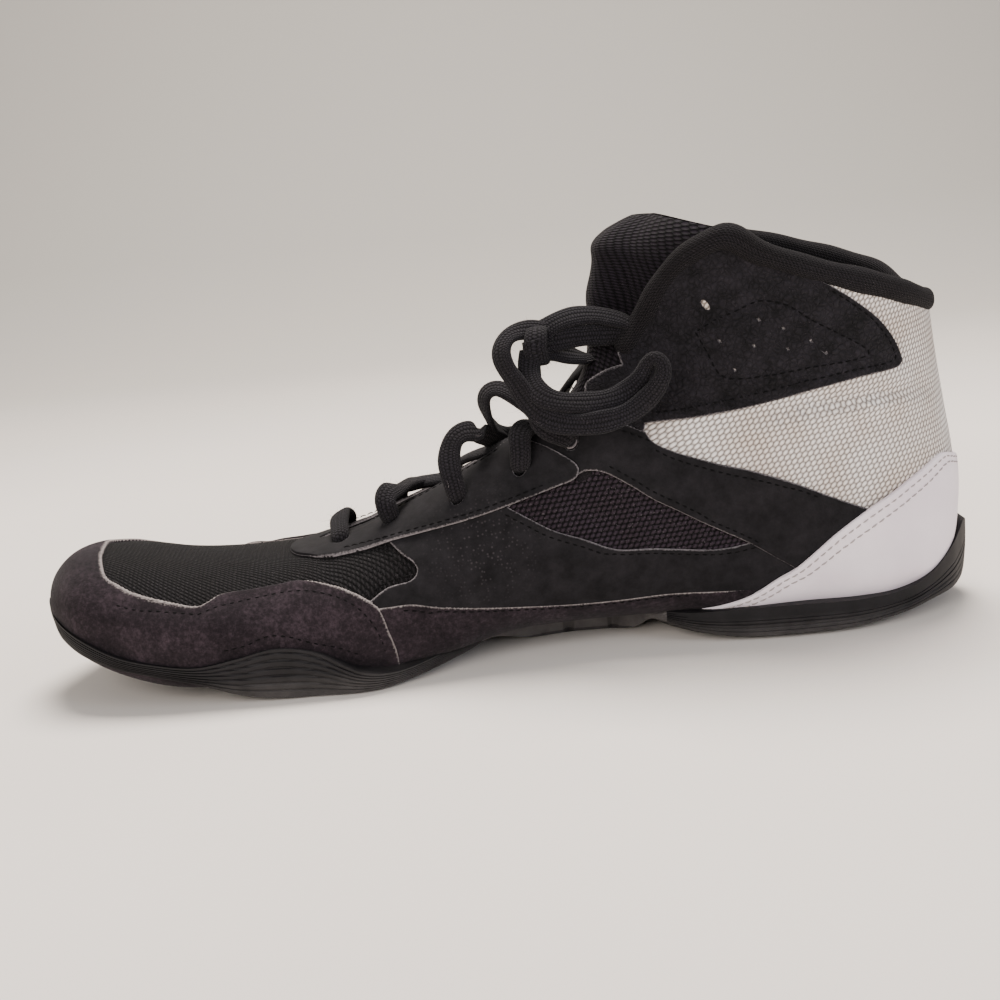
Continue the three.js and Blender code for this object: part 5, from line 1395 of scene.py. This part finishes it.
farLoop, farLoopPath = makeLace("laceFarLoop", scaled([
    (12.0, -23.6, 98.6), (15.0, -22.4, 99.6), (18.6, -21.2, 101.4), (22.8, -19.6, 102.6), (27.5, -18.2, 103.0),
    (32.7, -17.6, 102.4), (37.3, -18.4, 101.2), (41.0, -20.0, 99.8), (43.4, -21.0, 97.8), (41.1, -20.0, 96.4),
    (35.8, -18.4, 96.4), (30.1, -18.6, 96.8), (24.5, -20.0, 96.9), (19.5, -21.8, 96.6), (14.4, -23.6, 96.0)]),
    [(0.0, -0.9, 0.5), (0.0, -0.8, 0.7), (0.1, -0.7, 0.7), (0.3, -0.9, 0.0), (0.0, -1.0, -0.1), (0.0, -1.0, 0.1)],
    ["lace_tail"], [(0.52, 6)])

# the knot: one turn of the lace wrapped round the strands
turnAngles = np.linspace(-0.3, 2 * math.pi + 0.5, 12)
knotMiddle = np.array([12.6, -24.6, 95.6])
wrap = [tuple(knotMiddle + (1.6 * math.sin(a * 0.5), -4.3 * math.cos(a), 5.0 * math.sin(a)))
        for a in turnAngles]
wrapFaces = [(0, -math.cos(a), math.sin(a)) for a in turnAngles]
makeLace("laceKnot", scaled(wrap), wrapFaces, ["lace_knot"])


# Loose fibres that stand off the braid: thin bent bristles with three sides.
def makeFuzz(name, pieces, look):
    spots, normals = [], []
    for piece in pieces:
        points, ways = np.zeros(len(piece.data.vertices) * 3), np.zeros(len(piece.data.vertices) * 3)
        piece.data.vertices.foreach_get("co", points)
        piece.data.vertices.foreach_get("normal", ways)
        spots.append(points.reshape(-1, 3))
        normals.append(ways.reshape(-1, 3))
    spots, normals = np.concatenate(spots), np.concatenate(normals)
    chosen = random.choice(len(spots), look["count"], replace=False)
    way = unit(normals[chosen] + random.normal(0, look["spread"], (look["count"], 3)))
    bend = random.normal(0, look["bend"], (look["count"], 3)) + normals[chosen] * 0.2
    long = random.uniform(*look["length"], (look["count"], 1)) * mm
    turn = np.linspace(0, 2 * math.pi, 3, endpoint=False)
    steps = 5
    beside = unit(np.cross(way, bend))
    above = np.cross(beside, way)
    rings = []
    for t in np.linspace(0, 1, steps):
        middle = spots[chosen] - normals[chosen] * 0.15 * mm + long * (way * t + bend * t * t)
        radius = look["radius"] * mm * (1 - 0.7 * t)
        rings.append(np.stack([middle + radius * (math.cos(a) * beside + math.sin(a) * above) for a in turn], 1))
    vertices = np.stack(rings, 1).reshape(-1, 3)
    faces = []
    for hair in range(look["count"]):
        start = hair * steps * 3
        for r in range(steps - 1):
            for k in range(3):
                a, b = start + r * 3 + k, start + r * 3 + (k + 1) % 3
                faces.append((a, b, b + 3, a + 3))
        faces.append((start + 2, start + 1, start))
        faces.append(tuple(start + (steps - 1) * 3 + k for k in range(3)))
    piece = newPiece(name, vertices, faces, look["material"], smoothAngle=180)


makeFuzz("laceFuzz", lacePieces, {
    "count": 2600, "length": (0.5, 1.7), "radius": 0.035, "spread": 0.6, "bend": 0.3,
    "material": makeThread("cottonFibre", "#2c292d")})
makeFuzz("laceLint", lacePieces, {
    "count": 26, "length": (3.0, 6.5), "radius": 0.045, "spread": 1.2, "bend": 0.5,
    "material": makeThread("paleLint", "#8c8688")})

print("laces ready")


# a pale studio sweep: a floor that bends up into a wall behind the shoe
sweepLook = {"front": -3.0, "bend": 0.75, "radius": 0.5, "height": 3.0, "half": 4.0}


def makeBackdrop(look):
    turn = np.linspace(0, math.pi / 2, 24)
    curve = [(look["bend"] + look["radius"] * math.sin(a), look["radius"] * (1 - math.cos(a))) for a in turn]
    profile = [(look["front"], 0.0), *curve, (look["bend"] + look["radius"], look["height"])]
    vertices = [(x, y, z) for x in (-look["half"], look["half"]) for y, z in profile]
    count = len(profile)
    faces = [(i, i + count, i + count + 1, i + 1) for i in range(count - 1)]
    mesh = bpy.data.meshes.new("backdrop")
    mesh.from_pydata(vertices, [], faces)
    mesh.polygons.foreach_set("use_smooth", [True] * len(mesh.polygons))
    material, tree, shader = newMaterial("matPaperFloor", {"Roughness": 0.75, "Specular IOR Level": 0.25})
    place = addNode(tree, "TexCoord", out="Object")
    tone = addNode(tree, "TexNoise", {"Vector": place, "Scale": 3.0})
    colour = addNode(tree, "ValToRGB", (tone,), stops=((0.3, "#e6dfd8"), (0.7, "#ece6df")))
    # the sweep is painted darker towards the back and up the wall: painted shade where less light reaches it
    back = addNode(tree, "SeparateXYZ", (place,), "Y")
    back = addNode(tree, "Math", (back, 1.3, -0.35), operation="MULTIPLY_ADD", use_clamp=True)
    colour = addNode(tree, "Mix", {0: back, 6: colour, 7: "#b9b6b0"}, 2, data_type="RGBA")
    tree.links.new(colour, shader.inputs["Base Color"])
    mesh.materials.append(material)
    piece = bpy.data.objects.new("backdrop", mesh)
    bpy.context.scene.collection.objects.link(piece)


makeBackdrop(sweepLook)

# soft light: a large panel above, a weaker one from the camera's left, a low fill from the right
lights = {
    "overhead": {"place": (0.03, 0.38, 1.15), "aim": (0.0, 0.0, 0.03), "size": 0.7, "power": 31,
                 "colour": "#fff6ee"},
    "front": {"place": (-0.55, -1.15, 0.65), "aim": (0.0, 0.0, 0.05), "size": 0.9, "power": 12,
              "colour": "#fff8f2"},
    "right": {"place": (0.95, -0.7, 0.5), "aim": (0.05, 0.0, 0.05), "size": 0.7, "power": 6,
              "colour": "#f4f6ff"},
}
for name, look in lights.items():
    data = bpy.data.lights.new(name, "AREA")
    data.shape = "DISK"
    data.size = look["size"]
    data.energy = look["power"]
    data.color = toLinear(look["colour"])[:3]
    lamp = bpy.data.objects.new(name, data)
    away = Vector(look["place"]) - Vector(look["aim"])
    lamp.matrix_world = Matrix.Translation(look["place"]) @ away.to_track_quat("Z", "Y").to_matrix().to_4x4()
    bpy.context.scene.collection.objects.link(lamp)

world = bpy.data.worlds.new("studioWorld")
bpy.context.scene.world = world
world.use_nodes = True
world.node_tree.nodes["Background"].inputs["Color"].default_value = toLinear("#e4e2e0")
world.node_tree.nodes["Background"].inputs["Strength"].default_value = 0.47
